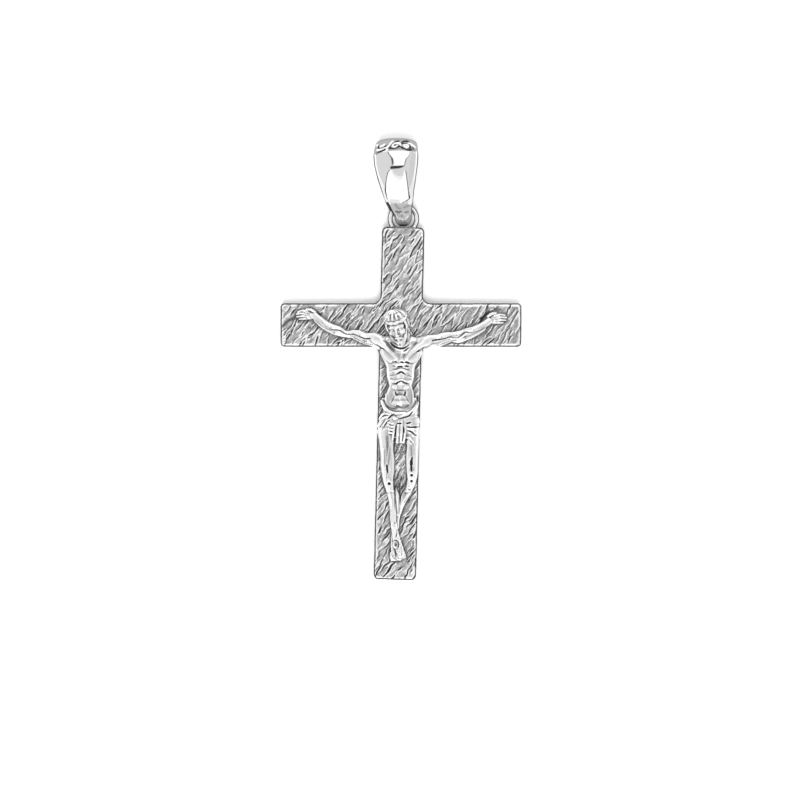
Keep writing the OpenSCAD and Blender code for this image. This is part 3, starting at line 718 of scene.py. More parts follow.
def make_bail():
    """The closed band: rows of points over its outside and back along its inside."""
    side, out = bail_side()
    out_y, out_z = out[:, :1], out[:, 1:]
    half, middle = bail_width(side[:, 0])
    flatter = np.interp(side[:, 0], (BAIL_Y + 1.5, BAIL_Y + 5), (0.45, 1))[:, None]
    rise = BAIL_DOME * flatter * half
    hollow = np.maximum(0, rise + BAIL_EDGE - BAIL_T)
    layers = []
    outside, inside = np.linspace(0, np.pi, 110), np.linspace(np.pi, 0, 24)
    for angle, under, bow in ((outside, 0, rise), (inside, BAIL_T, hollow)):
        x = middle + half * np.sign(np.cos(angle)) * np.abs(np.cos(angle)) ** BAND_POWER
        depth = under + bow * (1 - np.abs(np.sin(angle)) ** BAND_POWER)
        layers.append([x, side[:, :1] - depth * out_y, side[:, 1:] - depth * out_z])
    x, y, z = layers[0]
    front = out_z > -0.2
    relief, scrolls, band = scroll_relief(x, y)
    tarnish_and_painted_light = bail_shade_and_tarnish(x, y, middle, half, front, scrolls, band * front)
    relief = relief * front
    layers[0] = [x, y + relief * out_y, z + relief * out_z]
    points = np.concatenate([np.stack(layer, axis=2) for layer in layers], axis=1)
    rings, count = points.shape[:2]
    i, j = np.meshgrid(np.arange(rings), np.arange(count), indexing="ij")
    faces = [((i + a) % rings) * count + (j + b) % count for a, b in ((0, 0), (0, 1), (1, 1), (1, 0))]
    obj = mesh_object("bail_band", points.reshape(-1, 3), np.stack(faces, axis=2).reshape(-1, 4))
    store(obj, "tarnish_and_painted_light", np.hstack([tarnish_and_painted_light, np.zeros((rings, len(inside)))]).ravel())
    return obj


# Figure, in mm: across, up, height over its flat back

BACK_Z = 1.88
CORPUS_VOXEL = 0.055
CORPUS_TRIANGLES = 195000
# Bars: x, y, height over the back, radius
LEFT_ARM = [
    (-1.7, -1.8, 0.95, 0.6), (-2.6, -1.5, 0.95, 0.56), (-3.6, -1.32, 0.9, 0.46),
    (-4.65, -0.98, 0.82, 0.36), (-5.5, -0.92, 0.74, 0.3), (-6.45, -0.5, 0.66, 0.38),
    (-7.6, 0.08, 0.56, 0.36), (-8.3, 0.62, 0.46, 0.33), (-8.9, 0.95, 0.38, 0.3),
]
RIGHT_ARM = [
    (1.7, -2.0, 0.95, 0.6), (2.6, -1.75, 0.95, 0.56), (3.6, -1.55, 0.9, 0.46), (4.7, -1.22, 0.82, 0.36),
    (5.5, -1.25, 0.74, 0.34), (6.4, -0.95, 0.66, 0.4), (7.5, -0.42, 0.56, 0.36), (8.3, 0.0, 0.46, 0.33),
    (8.9, 0.4, 0.38, 0.3),
]
ARM_MUSCLES = [
    [(-1.9, -1.55, 1.25, 0.5), (-2.5, -1.2, 1.28, 0.4), (-3.4, -1.1, 1.2, 0.3), (-4.1, -0.88, 1.1, 0.34),
     (-4.75, -0.74, 1.0, 0.24)],
    [(-4.75, -0.74, 1.0, 0.22), (-5.5, -0.78, 0.92, 0.2), (-6.1, -0.4, 0.88, 0.24),
     (-6.75, -0.24, 0.84, 0.29), (-7.4, 0.08, 0.75, 0.27), (-8.0, 0.55, 0.62, 0.24),
     (-8.6, 1.05, 0.48, 0.22)],
    [(-2.2, -2.2, 1.0, 0.28), (-2.9, -1.78, 1.02, 0.33), (-3.6, -1.64, 0.98, 0.27),
     (-4.2, -1.46, 0.9, 0.2), (-4.8, -1.15, 0.82, 0.17)],
    [(-5.2, -1.1, 0.8, 0.16), (-5.9, -0.95, 0.76, 0.22), (-6.6, -0.75, 0.7, 0.24),
     (-7.2, -0.52, 0.62, 0.2), (-7.9, -0.1, 0.52, 0.2), (-8.5, 0.45, 0.42, 0.2)],
    [(1.9, -1.7, 1.25, 0.5), (2.6, -1.42, 1.28, 0.4), (3.3, -1.28, 1.2, 0.3), (4.0, -1.13, 1.12, 0.32),
     (4.7, -0.98, 1.04, 0.27), (5.3, -0.98, 0.95, 0.22)],
    [(5.2, -0.95, 0.94, 0.24), (5.9, -0.8, 0.88, 0.24), (6.5, -0.56, 0.86, 0.22),
     (7.1, -0.46, 0.82, 0.27), (7.7, -0.22, 0.74, 0.27), (8.3, 0.12, 0.62, 0.26), (8.8, 0.5, 0.5, 0.24)],
    [(2.3, -2.35, 1.0, 0.26), (2.9, -2.0, 1.04, 0.31), (3.6, -1.94, 1.0, 0.31), (4.3, -1.7, 0.92, 0.26),
     (5.0, -1.48, 0.8, 0.19)],
    [(5.3, -1.55, 0.76, 0.18), (5.8, -1.55, 0.72, 0.24), (6.4, -1.3, 0.68, 0.27),
     (7.0, -1.08, 0.62, 0.25), (7.6, -0.8, 0.55, 0.22), (8.3, -0.38, 0.46, 0.2)],
]
PALM_RADII = (0.56, 0.42, 0.2)
# Height and radius at each finger's three points, the thumb's last
FINGERS = [
    ((0.44, 0.13), (0.56, 0.115), (0.36, 0.09)), ((0.44, 0.12), (0.58, 0.11), (0.38, 0.09)),
    ((0.42, 0.12), (0.54, 0.11), (0.37, 0.09)), ((0.38, 0.12), (0.48, 0.105), (0.34, 0.085)),
    ((0.44, 0.16), (0.5, 0.14), (0.4, 0.11)),
]
# Hands: the palm's centre and turn, then x, y of each finger's points
HANDS = [
    ((-9.2, 0.98, 0.36), -14, [
        [(-9.3, 1.26), (-9.78, 1.42), (-10.3, 1.3)], [(-9.4, 1.08), (-9.9, 1.16), (-10.44, 1.08)],
        [(-9.4, 0.86), (-9.88, 0.88), (-10.4, 0.82)], [(-9.3, 0.66), (-9.72, 0.62), (-10.15, 0.58)],
        [(-8.6, 1.25), (-9.0, 1.5), (-9.45, 1.55)]]),
    ((9.25, 0.55, 0.36), 14, [
        [(9.35, 0.88), (9.86, 1.02), (10.38, 0.96)], [(9.45, 0.68), (9.96, 0.77), (10.52, 0.73)],
        [(9.45, 0.46), (9.95, 0.5), (10.46, 0.47)], [(9.35, 0.24), (9.8, 0.24), (10.2, 0.22)],
        [(8.7, 0.85), (9.08, 1.1), (9.5, 1.18)]]),
]
# Grooves seen from the front: between the fingers, and between the arms' muscles
HAND_GROOVES = [
    [(-9.5, 1.34), (-9.1, 1.28)], [(-10.2, 1.2), (-9.75, 1.27), (-9.3, 1.15)],
    [(-10.3, 0.94), (-9.55, 0.97)], [(-10.2, 0.7), (-9.6, 0.74), (-9.3, 0.6)],
    [(9.15, 0.97), (9.5, 1.02)], [(9.5, 0.78), (9.9, 0.88), (10.35, 0.84)], [(9.6, 0.58), (10.3, 0.6)],
    [(9.5, 0.38), (9.8, 0.36), (10.2, 0.35)],
]
ARM_GROOVES = [
    [(-7.9, 0.25), (-7.4, -0.18), (-6.9, -0.47), (-6.1, -0.58), (-5.5, -0.93), (-4.7, -0.97),
     (-4.1, -1.22), (-3.6, -1.4), (-3.0, -1.38), (-2.5, -1.62), (-2.1, -2.1)],
    [(-5.3, -1.05), (-4.7, -1.28), (-4.2, -1.55), (-3.6, -1.85), (-2.9, -1.95)],
    [(7.5, -0.6), (7.0, -0.78), (6.4, -0.74), (5.9, -1.15), (5.5, -1.32), (4.9, -1.22), (4.4, -1.38),
     (3.5, -1.52), (2.9, -1.62), (2.4, -2.0), (2.1, -2.5)],
    [(5.6, -1.5), (5.0, -1.62), (4.4, -1.82), (3.8, -2.05)],
]
# Lofts: y, left x, right x, middle height, half depth
TRUNK = [
    (-0.9, -0.8, 0.75, 0.95, 0.6), (-1.5, -1.7, 1.7, 0.95, 0.7), (-2.2, -2.15, 2.2, 0.92, 0.9),
    (-2.8, -2.1, 2.15, 0.9, 1.0), (-3.3, -1.88, 1.92, 0.88, 1.03), (-3.8, -1.62, 1.6, 0.86, 1.02),
    (-4.2, -1.47, 1.4, 0.86, 1.0), (-4.7, -1.46, 1.34, 0.86, 1.0), (-5.2, -1.42, 1.32, 0.84, 0.98),
    (-5.7, -1.27, 1.2, 0.82, 0.92), (-6.1, -1.18, 1.08, 0.78, 0.82), (-6.5, -1.35, 1.15, 0.76, 0.8),
    (-7.0, -1.52, 1.24, 0.76, 0.84), (-7.5, -1.58, 1.26, 0.78, 0.92), (-8.1, -1.6, 1.3, 0.8, 0.98),
    (-8.8, -1.7, 1.45, 0.8, 0.95),
]
CLOTH = [
    (-7.3, -1.95, 1.5, 0.6, 0.6), (-7.9, -1.85, 1.62, 0.75, 0.85), (-8.6, -1.72, 1.68, 0.9, 1.05),
    (-9.1, -1.92, 1.62, 0.95, 1.1), (-9.6, -2.18, 1.74, 0.95, 1.12), (-10.2, -2.3, 1.82, 0.95, 1.12),
    (-10.8, -2.34, 1.78, 0.95, 1.08), (-11.3, -2.24, 1.72, 0.9, 0.98),
]
LEFT_THIGH = [
    (-10.3, -2.2, -0.6, 0.9, 1.08), (-11.0, -2.25, -0.6, 0.95, 1.08), (-12.2, -2.12, -0.6, 0.98, 1.09),
    (-13.0, -2.06, -0.59, 1.0, 1.1), (-14.1, -2.05, -0.59, 1.02, 1.1), (-15.0, -1.92, -0.6, 1.04, 1.07),
    (-15.6, -1.8, -0.62, 1.06, 1.03), (-16.1, -1.64, -0.64, 1.08, 0.98), (-16.6, -1.42, -0.63, 1.05, 0.9),
]
RIGHT_THIGH = [
    (-10.3, 0.4, 1.8, 0.9, 1.08), (-11.5, 0.4, 1.8, 0.95, 1.08), (-13.0, 0.4, 1.75, 1.0, 1.1),
    (-14.6, 0.42, 1.7, 1.02, 1.1), (-15.2, 0.45, 1.63, 1.02, 1.08), (-15.8, 0.48, 1.46, 1.02, 1.02),
    (-16.3, 0.4, 1.2, 0.98, 0.95), (-16.7, 0.25, 0.95, 0.9, 0.88),
]
# Bars of the legs: x, y, height over the back, radius
LEFT_SHIN = [
    (-1.16, -15.9, 1.45, 0.46), (-1.04, -16.6, 1.48, 0.38), (-0.95, -17.2, 1.42, 0.33),
    (-0.86, -18.0, 1.3, 0.31), (-0.8, -18.8, 1.18, 0.31), (-0.77, -19.4, 1.08, 0.32),
    (-0.69, -20.2, 1.02, 0.29),
]
RIGHT_SHIN = [
    (0.92, -15.8, 1.4, 0.48), (0.74, -16.4, 1.38, 0.39), (0.42, -17.1, 1.15, 0.37),
    (0.08, -17.8, 0.92, 0.35), (-0.2, -18.5, 0.74, 0.32), (-0.42, -19.3, 0.6, 0.3),
    (-0.5, -20.2, 0.55, 0.28),
]
CALF = [
    (-0.72, -16.2, 1.05, 0.3), (-0.46, -17.0, 1.0, 0.36), (-0.36, -17.9, 0.9, 0.36),
    (-0.42, -18.9, 0.8, 0.28),
]
LEFT_FOOT = [
    (-0.69, -20.0, 1.02, 0.3), (-0.56, -20.9, 1.1, 0.34), (-0.38, -21.7, 1.14, 0.4),
    (-0.17, -22.4, 1.0, 0.42), (-0.02, -22.95, 0.8, 0.38),
]
RIGHT_FOOT = [
    (-0.62, -20.3, 0.55, 0.29), (-0.66, -21.1, 0.62, 0.32), (-0.68, -21.9, 0.66, 0.33),
    (-0.66, -22.6, 0.6, 0.34), (-0.64, -23.05, 0.48, 0.3),
]
# Grooves on the feet, seen from the front
FOOT_GROOVES = [
    [(-0.52, -21.3), (-0.4, -20.7), (-0.44, -20.3)], [(-0.78, -20.4), (-0.8, -21.0)],
    [(-0.15, -21.3), (-0.05, -21.9)], [(-0.2, -22.3), (-0.1, -22.8)], [(0.0, -22.15), (0.1, -22.6)],
    [(-0.8, -22.1), (-0.82, -22.8)], [(-0.62, -22.6), (-0.58, -23.0)],
]
# Head, in a frame of its own whose unit is HEAD_SIZE in mm; its bars on one side are mirrored to the other
HEAD_AT = (-0.33, -0.08, 1.4)
HEAD_SIZE = 3.3
HEAD_TURN = (22, -14, 10)
# Strands of the beard, at the cheek and at the middle; the others lie between them
BEARD = np.array([
    [(0.24, -0.2, 0.21, 0.02), (0.19, -0.36, 0.27, 0.026), (0.12, -0.52, 0.3, 0.02),
     (0.07, -0.6, 0.27, 0.01)],
    [(0.04, -0.36, 0.34, 0.02), (0.05, -0.44, 0.36, 0.026), (0.035, -0.57, 0.33, 0.02),
     (0.01, -0.62, 0.27, 0.01)],
])
# Locks of the hair, at the face and at the back, and which way their waves go
LOCKS = np.array([
    [(0.04, 0.46, 0.16, 0.03), (0.17, 0.41, 0.19, 0.045), (0.27, 0.22, 0.17, 0.05),
     (0.29, 0.02, 0.14, 0.046), (0.27, -0.16, 0.12, 0.046), (0.27, -0.33, 0.1, 0.044),
     (0.25, -0.48, 0.08, 0.034), (0.27, -0.58, 0.07, 0.014)],
    [(0.04, 0.43, -0.09, 0.03), (0.17, 0.41, -0.06, 0.045), (0.29, 0.22, -0.03, 0.05),
     (0.335, 0.02, -0.03, 0.046), (0.33, -0.16, -0.03, 0.046), (0.335, -0.33, -0.04, 0.044),
     (0.32, -0.48, -0.04, 0.034), (0.33, -0.58, -0.03, 0.014)],
])
LOCK_WAVE = np.outer((0, 0, 0, 1, -1, 1, -1, 0), (0.016, 0, 0, 0))


def turned(x, y, z):
    """Axes of a frame turned by degrees about X, then Y, then Z, as columns."""
    x, y, z = np.radians([x, y, z])
    rx = np.array([[1, 0, 0], [0, np.cos(x), -np.sin(x)], [0, np.sin(x), np.cos(x)]])
    ry = np.array([[np.cos(y), 0, np.sin(y)], [0, 1, 0], [-np.sin(y), 0, np.cos(y)]])
    rz = np.array([[np.cos(z), -np.sin(z), 0], [np.sin(z), np.cos(z), 0], [0, 0, 1]])
    return rz @ ry @ rx


def flip(rows, side):
    """A bar's rows, mirrored to the left where side is -1."""
    return np.array(rows) * (side, 1, 1, 1)


def head(clay):
    """The head with its beard, hair and plaited band."""
    clay.place(HEAD_AT, turned(*HEAD_TURN), HEAD_SIZE)
    clay.pad((0, 0.1, -0.05), (0.31, 0.37, 0.36), 0.02)
    clay.bar([(0, 0.2, 0.12, 0.22), (0, 0, 0.13, 0.235), (0, -0.2, 0.15, 0.2), (0, -0.38, 0.19, 0.13)], 0.05)
    # brow, closed eyes and cheeks
    clay.bar([(-0.2, 0.06, 0.23, 0.05), (-0.1, 0.1, 0.31, 0.045), (0, 0.075, 0.33, 0.04),
              (0.1, 0.1, 0.31, 0.045), (0.2, 0.06, 0.23, 0.05)], 0.03)
    lashes = [(0.055, -0.012, 0.33, 0.007), (0.11, -0.024, 0.342, 0.009), (0.165, -0.008, 0.31, 0.007)]
    for side in (-1, 1):
        clay.pad((side * 0.115, 0.0, 0.385), (0.075, 0.05, 0.07), 0.035, cut=True)
        clay.pad((side * 0.17, -0.1, 0.25), (0.085, 0.085, 0.075), 0.05)
        clay.pad((side * 0.11, 0.0, 0.285), (0.06, 0.042, 0.05), 0.012)
        clay.bar(flip(lashes, side), 0.008, cut=True)
    # nose and mouth
    clay.bar([(0, 0.07, 0.325, 0.028), (0, -0.06, 0.39, 0.03), (0, -0.16, 0.43, 0.042)], 0.025)
    for side in (-1, 1):
        clay.pad((side * 0.045, -0.175, 0.385), (0.032, 0.03, 0.04), 0.015)
    clay.pad((0, -0.29, 0.3), (0.11, 0.08, 0.07), 0.04)
    clay.bar([(-0.07, -0.285, 0.345, 0.014), (0, -0.272, 0.378, 0.02), (0.07, -0.285, 0.345, 0.014)], 0.01)
    clay.bar([(-0.05, -0.315, 0.35, 0.014), (0, -0.322, 0.374, 0.022), (0.05, -0.315, 0.35, 0.014)], 0.01)
    # beard and moustache
    clay.bar([(0, -0.42, 0.26, 0.12), (0.01, -0.56, 0.27, 0.07)], 0.04)
    jaw = [(0.245, 0.02, 0.1, 0.05), (0.235, -0.15, 0.16, 0.06), (0.17, -0.34, 0.23, 0.07),
           (0.06, -0.5, 0.29, 0.06)]
    lip = [(0.006, -0.235, 0.385, 0.022), (0.07, -0.262, 0.36, 0.028), (0.125, -0.33, 0.3, 0.024),
           (0.13, -0.42, 0.27, 0.02)]
    for side in (-1, 1):
        clay.bar(flip(jaw, side), 0.03)
        clay.bar(flip(lip, side), 0.01)
        for share in np.linspace(0, 1, 5):
            clay.bar(flip(mixed(BEARD[0], share, BEARD[1]), side), 0.008)
    neck = [(0.22, -0.2, 0.08, 0.1), (0.2, -0.38, 0.12, 0.1), (0.14, -0.53, 0.14, 0.08)]
    for side in (-1, 1):
        clay.bar(flip(neck, side), 0.03)
    # hair: a cap and, on each side, a mass with locks on it
    clay.pad((0, 0.29, -0.04), (0.34, 0.215, 0.375), 0.02)
    mass = [(0.2, 0.4, -0.02, 0.09), (0.285, 0.2, 0.0, 0.09), (0.285, -0.05, 0.0, 0.09),
            (0.27, -0.3, -0.02, 0.09), (0.25, -0.52, -0.04, 0.05)]
    for side in (-1, 1):
        clay.bar(flip(mass, side), 0.04)
        for k in range(4):
            lock = mixed(LOCKS[0], k / 3, LOCKS[1]) + LOCK_WAVE * (-1) ** k
            clay.bar(flip(lock, side), 0.01)
    # strands combed from the crown
    fall = np.radians((10, 32, 54, 74))
    for way in np.radians((-78, -52, -28, -4, 20, 45, 72)):
        across, ahead = 0.35 * np.sin(way) * np.sin(fall), 0.39 * np.cos(way) * np.sin(fall)
        up = 0.28 + 0.23 * np.cos(fall)
        clay.bar(np.column_stack([across, up, ahead - 0.04, 0 * fall + 0.036]), 0.008)
    # plaited band: two strands that wind round each other
    around = np.radians(np.arange(0, 361, 12))
    for phase in (0, np.pi):
        out = 1 + 0.04 * np.cos(6 * around + phase)
        rise = 0.028 * np.sin(6 * around + phase) - 0.03 * np.sin(around)
        across, ahead = 0.34 * np.cos(around) * out, 0.37 * np.sin(around) * out
        clay.bar(np.column_stack([across, 0.26 + rise, ahead - 0.03, 0 * around + 0.034]), 0.012, steps=2)
    clay.place(np.zeros(3), np.eye(3), 1.0)


def body(clay):
    """Trunk, arms, shoulders, chest and belly."""
    clay.loft(TRUNK, 0.2)
    clay.bar([(-0.3, -0.6, 1.15, 0.5), (-0.2, -1.4, 1.1, 0.52), (-0.05, -2.1, 1.0, 0.6)], 0.25)
    for rows in (LEFT_ARM, RIGHT_ARM):
        clay.bar(rows, 0.15, steps=6)
    # shoulders to the neck
    clay.bar([(-2.2, -1.5, 1.2, 0.4), (-1.2, -1.5, 1.2, 0.4), (-0.4, -1.2, 1.2, 0.35)], 0.2)
    clay.bar([(2.2, -1.6, 1.2, 0.4), (1.2, -1.6, 1.2, 0.4), (0.3, -1.3, 1.2, 0.35)], 0.2)
    for rows in ARM_MUSCLES:
        clay.bar(rows, 0.07, steps=6)
    for points in ARM_GROOVES:
        clay.drawn(points, 0.085, -0.085, 0.03)
    # chest: a plate on each side, bands from the shoulders and the breastbone between them
    left = [(-2.0, -2.3), (-1.93, -2.85), (-1.62, -3.45), (-1.1, -3.82), (-0.55, -3.7), (-0.5, -3.3)]
    clay.slab(left, 1.82, (-12, 1))
    right = [(0.62, -3.2), (0.66, -3.7), (1.2, -3.82), (1.55, -3.6), (1.8, -3.1), (1.95, -2.6)]
    clay.slab(right, 1.82, (12, 1))
    clay.bar([(-2.7, -1.38, 1.28, 0.38), (-1.85, -1.88, 1.52, 0.34), (-1.1, -2.6, 1.68, 0.29),
              (-0.42, -3.4, 1.78, 0.2)], 0.1, steps=6)
    clay.bar([(2.75, -1.6, 1.28, 0.38), (1.9, -2.0, 1.52, 0.34), (1.1, -2.7, 1.68, 0.29),
              (0.5, -3.45, 1.78, 0.2)], 0.1, steps=6)
    clay.bar([(0.03, -2.7, 1.55, 0.22), (0.04, -3.2, 1.62, 0.26), (0.04, -3.6, 1.62, 0.26)], 0.1)
    clay.bar([(-0.85, -7.78, 1.42, 0.3), (-0.12, -7.8, 1.5, 0.4), (0.6, -7.78, 1.42, 0.3)], 0.1)
    clay.bar([(-0.5, -7.3, 1.42, 0.3), (-0.12, -7.3, 1.5, 0.36), (0.28, -7.3, 1.42, 0.3)], 0.12)
    clay.strokes(
        ([(-1.3, -6.1), (-1.42, -6.8), (-1.45, -7.5), (-1.35, -8.1)], 0.12, 0.05, 0.08),
        ([(1.0, -6.2), (1.12, -6.9), (1.15, -7.5), (1.1, -8.0)], 0.12, 0.05, 0.08),
    )


def trunk_detail(clay):
    """Ribs, belly muscles and navel, from the chest down."""
    clay.strokes(
        ([(-0.98, -3.72), (-0.7, -3.7), (-0.38, -3.74)], 0.08, -0.12),
        ([(-0.08, -3.74), (0.1, -3.72), (0.28, -3.82)], 0.08, -0.12),
        ([(0.38, -3.74), (0.62, -3.74), (0.86, -3.9)], 0.08, -0.12),
        ([(-1.0, -3.98), (-0.5, -3.95), (0, -3.98), (0.5, -3.95), (0.95, -4.02)], 0.12, 0.05),
        ([(-0.82, -4.16), (-0.52, -4.18)], 0.08, -0.1),
        ([(-0.42, -4.22), (-0.1, -4.17), (0.18, -4.17)], 0.08, -0.12),
        ([(0.38, -4.12), (0.6, -4.14), (0.8, -4.18)], 0.08, -0.12),
        ([(-0.8, -4.4), (0, -4.36), (0.8, -4.45)], 0.16, -0.06, 0.1),
        ([(-1.1, -4.75), (-0.5, -4.6), (0, -4.46), (0.45, -4.58), (0.95, -4.85)], 0.11, 0.08),
        ([(-0.58, -4.98), (-0.2, -4.8), (0.02, -4.7), (0.25, -4.82), (0.52, -5.0)], 0.08, -0.12),
    )
    for x, y in ((-1.0, -5.05), (-0.75, -5.0), (0.75, -5.05), (0.98, -5.15), (-0.95, -5.35), (0.92, -5.38)):
        clay.drawn([(x - 0.14, y - 0.03), (x, y), (x + 0.14, y - 0.05)], 0.05, -0.05)
    clay.strokes(
        ([(-1.22, -5.5), (-0.6, -5.62), (0, -5.52), (0.6, -5.62), (1.05, -5.6)], 0.14, 0.07),
        ([(-0.86, -5.86), (-0.5, -5.9), (-0.3, -5.74), (0.05, -5.62), (0.35, -5.8),
          (0.8, -5.92)], 0.08, -0.12),
    )
    clay.pad((-0.55, -6.22, 1.42), (0.3, 0.28, 0.24), 0.1)
    clay.pad((0.42, -6.22, 1.42), (0.3, 0.28, 0.24), 0.1)
    clay.pad((-0.85, -6.32, 1.7), (0.1, 0.12, 0.2), 0.05, cut=True)
    clay.strokes(
        ([(-0.56, -6.62), (-0.52, -6.85), (-0.4, -7.0), (-0.3, -6.9)], 0.08, -0.12),
        ([(0.42, -6.6), (0.42, -6.85), (0.28, -7.05)], 0.09, -0.13),
    )
    clay.pad((0.88, -6.72, 1.6), (0.08, 0.08, 0.16), 0.04, cut=True)
    clay.strokes(
        ([(-1.1, -7.95), (-0.8, -8.18), (-0.3, -8.12), (-0.1, -8.28), (0.3, -8.28),
          (0.75, -8.1)], 0.09, -0.13),
        ([(-1.45, -8.05), (-0.95, -8.48), (-0.1, -8.6), (0.7, -8.45), (1.25, -7.95)], 0.12, -0.08, 0.08),
        ([(-0.6, -7.0), (-0.9, -7.6), (-1.15, -7.95)], 0.07, -0.06),
        ([(0.4, -7.0), (0.68, -7.5), (0.95, -7.9)], 0.07, -0.06),
    )


def cloth(clay):
    """The loincloth with its roll, folds, flap and knot."""
    clay.loft(CLOTH, 0.12)
    # upper edge, the roll from the right hip and the knot at the left
    clay.bar([(-1.9, -7.6, 1.0, 0.16), (-1.55, -8.35, 1.55, 0.2), (-0.95, -8.75, 1.85, 0.2),
              (-0.2, -8.85, 1.95, 0.2), (0.4, -8.85, 1.95, 0.18)], 0.08, steps=6)
    clay.bar([(1.6, -7.8, 0.95, 0.18), (1.4, -8.3, 1.4, 0.24), (0.9, -8.8, 1.78, 0.25),
              (0.2, -9.1, 1.95, 0.25), (-0.6, -9.3, 1.98, 0.24)], 0.08, steps=6)
    # fan of folds to the left
    fan = [((-1.7, -8.9), (-2.1, -9.4)), ((-1.75, -9.3), (-2.25, -10.1)), ((-1.65, -9.75), (-2.3, -10.7)),
           ((-1.45, -10.0), (-2.0, -10.9))]
    for k, (middle, end) in enumerate(fan):
        start = (-0.75 - 0.05 * k, -8.95 - 0.16 * k, 1.9 - 0.03 * k, 0.12)
        clay.bar([start, (*middle, 1.68, 0.14), (*end, 1.0, 0.14)], 0.05, steps=6)
    clay.strokes(
        ([(-0.65, -8.86), (-1.0, -9.1), (-1.35, -9.45)], 0.08, -0.12),
        ([(-1.05, -9.42), (-1.5, -9.85), (-1.9, -10.5)], 0.08, -0.12),
        ([(-1.75, -9.1), (-2.05, -9.5)], 0.08, -0.12),
        ([(-1.6, -9.5), (-1.95, -9.95), (-2.15, -10.3)], 0.08, -0.12),
    )
    # small stacked folds left of the flap
    for k in range(4):
        y = -9.75 - 0.32 * k
        clay.drawn([(-1.35 + 0.05 * k, y + 0.12), (-1.15, y - 0.08), (-0.7, y - 0.1)], 0.1, 0.07)
        clay.drawn([(-1.3 + 0.05 * k, y - 0.06), (-1.08, y - 0.24), (-0.68, y - 0.26)], 0.05, -0.05)
    # flap
    for soft, rows in (
        (0.05, [(-0.5, -9.5, 1.85, 0.2), (-0.75, -10.8, 1.95, 0.14), (-0.92, -11.85, 1.78, 0.12)]),
        (0.04, [(-0.25, -9.6, 1.9, 0.2), (-0.3, -10.8, 1.98, 0.17), (-0.4, -11.75, 1.8, 0.14)]),
        (0.04, [(0.05, -9.6, 1.9, 0.2), (0.02, -10.8, 1.98, 0.17), (-0.02, -11.72, 1.8, 0.13)]),
        (0.04, [(0.4, -9.6, 1.88, 0.18), (0.4, -10.8, 1.94, 0.15), (0.25, -11.75, 1.78, 0.13)]),
    ):
        clay.bar(rows, soft, steps=6)
    clay.strokes(
        ([(-0.46, -9.9), (-0.55, -10.6), (-0.62, -11.1)], 0.08, -0.16),
        ([(-0.4, -9.82), (-0.2, -9.84), (0.06, -9.84)], 0.09, -0.18),
        ([(0.24, -10.15), (0.3, -10.5), (0.3, -10.8)], 0.07, -0.14),
        ([(-0.3, -11.0), (-0.22, -11.4)], 0.06, -0.1), ([(0.02, -10.9), (0.02, -11.5)], 0.06, -0.12),
        ([(-0.95, -11.85), (-0.4, -11.7), (0.3, -11.78)], 0.09, 0.05),
    )
    # right side
    clay.pad((1.25, -9.65, 1.3), (0.55, 0.42, 0.45), 0.1, turn=10, power=2.6)
    clay.strokes(
        ([(1.1, -9.27), (1.6, -9.2), (1.78, -9.75), (1.6, -10.05), (1.0, -10.12)], 0.1, 0.06),
        ([(0.5, -9.85), (0.75, -9.8), (1.05, -9.72)], 0.08, -0.14),
        ([(-0.3, -9.36), (0.2, -9.26), (0.7, -9.1), (0.95, -8.95), (1.2, -8.6)], 0.09, -0.18),
        ([(0.55, -10.15), (1.1, -10.25), (1.65, -10.08)], 0.08, -0.12),
        ([(0.6, -10.4), (1.2, -10.42), (1.7, -10.4)], 0.12, 0.06),
        ([(0.6, -10.55), (1.0, -10.66), (1.4, -10.98), (1.65, -11.06)], 0.07, -0.11),
        ([(0.65, -10.72), (1.0, -10.9), (1.3, -11.15)], 0.1, 0.05),
        ([(0.7, -10.9), (0.8, -11.15)], 0.06, -0.08),
        ([(0.45, -11.25), (0.85, -11.3), (1.25, -11.7)], 0.11, 0.07),
        ([(0.6, -11.45), (1.1, -11.75)], 0.07, -0.1),
    )


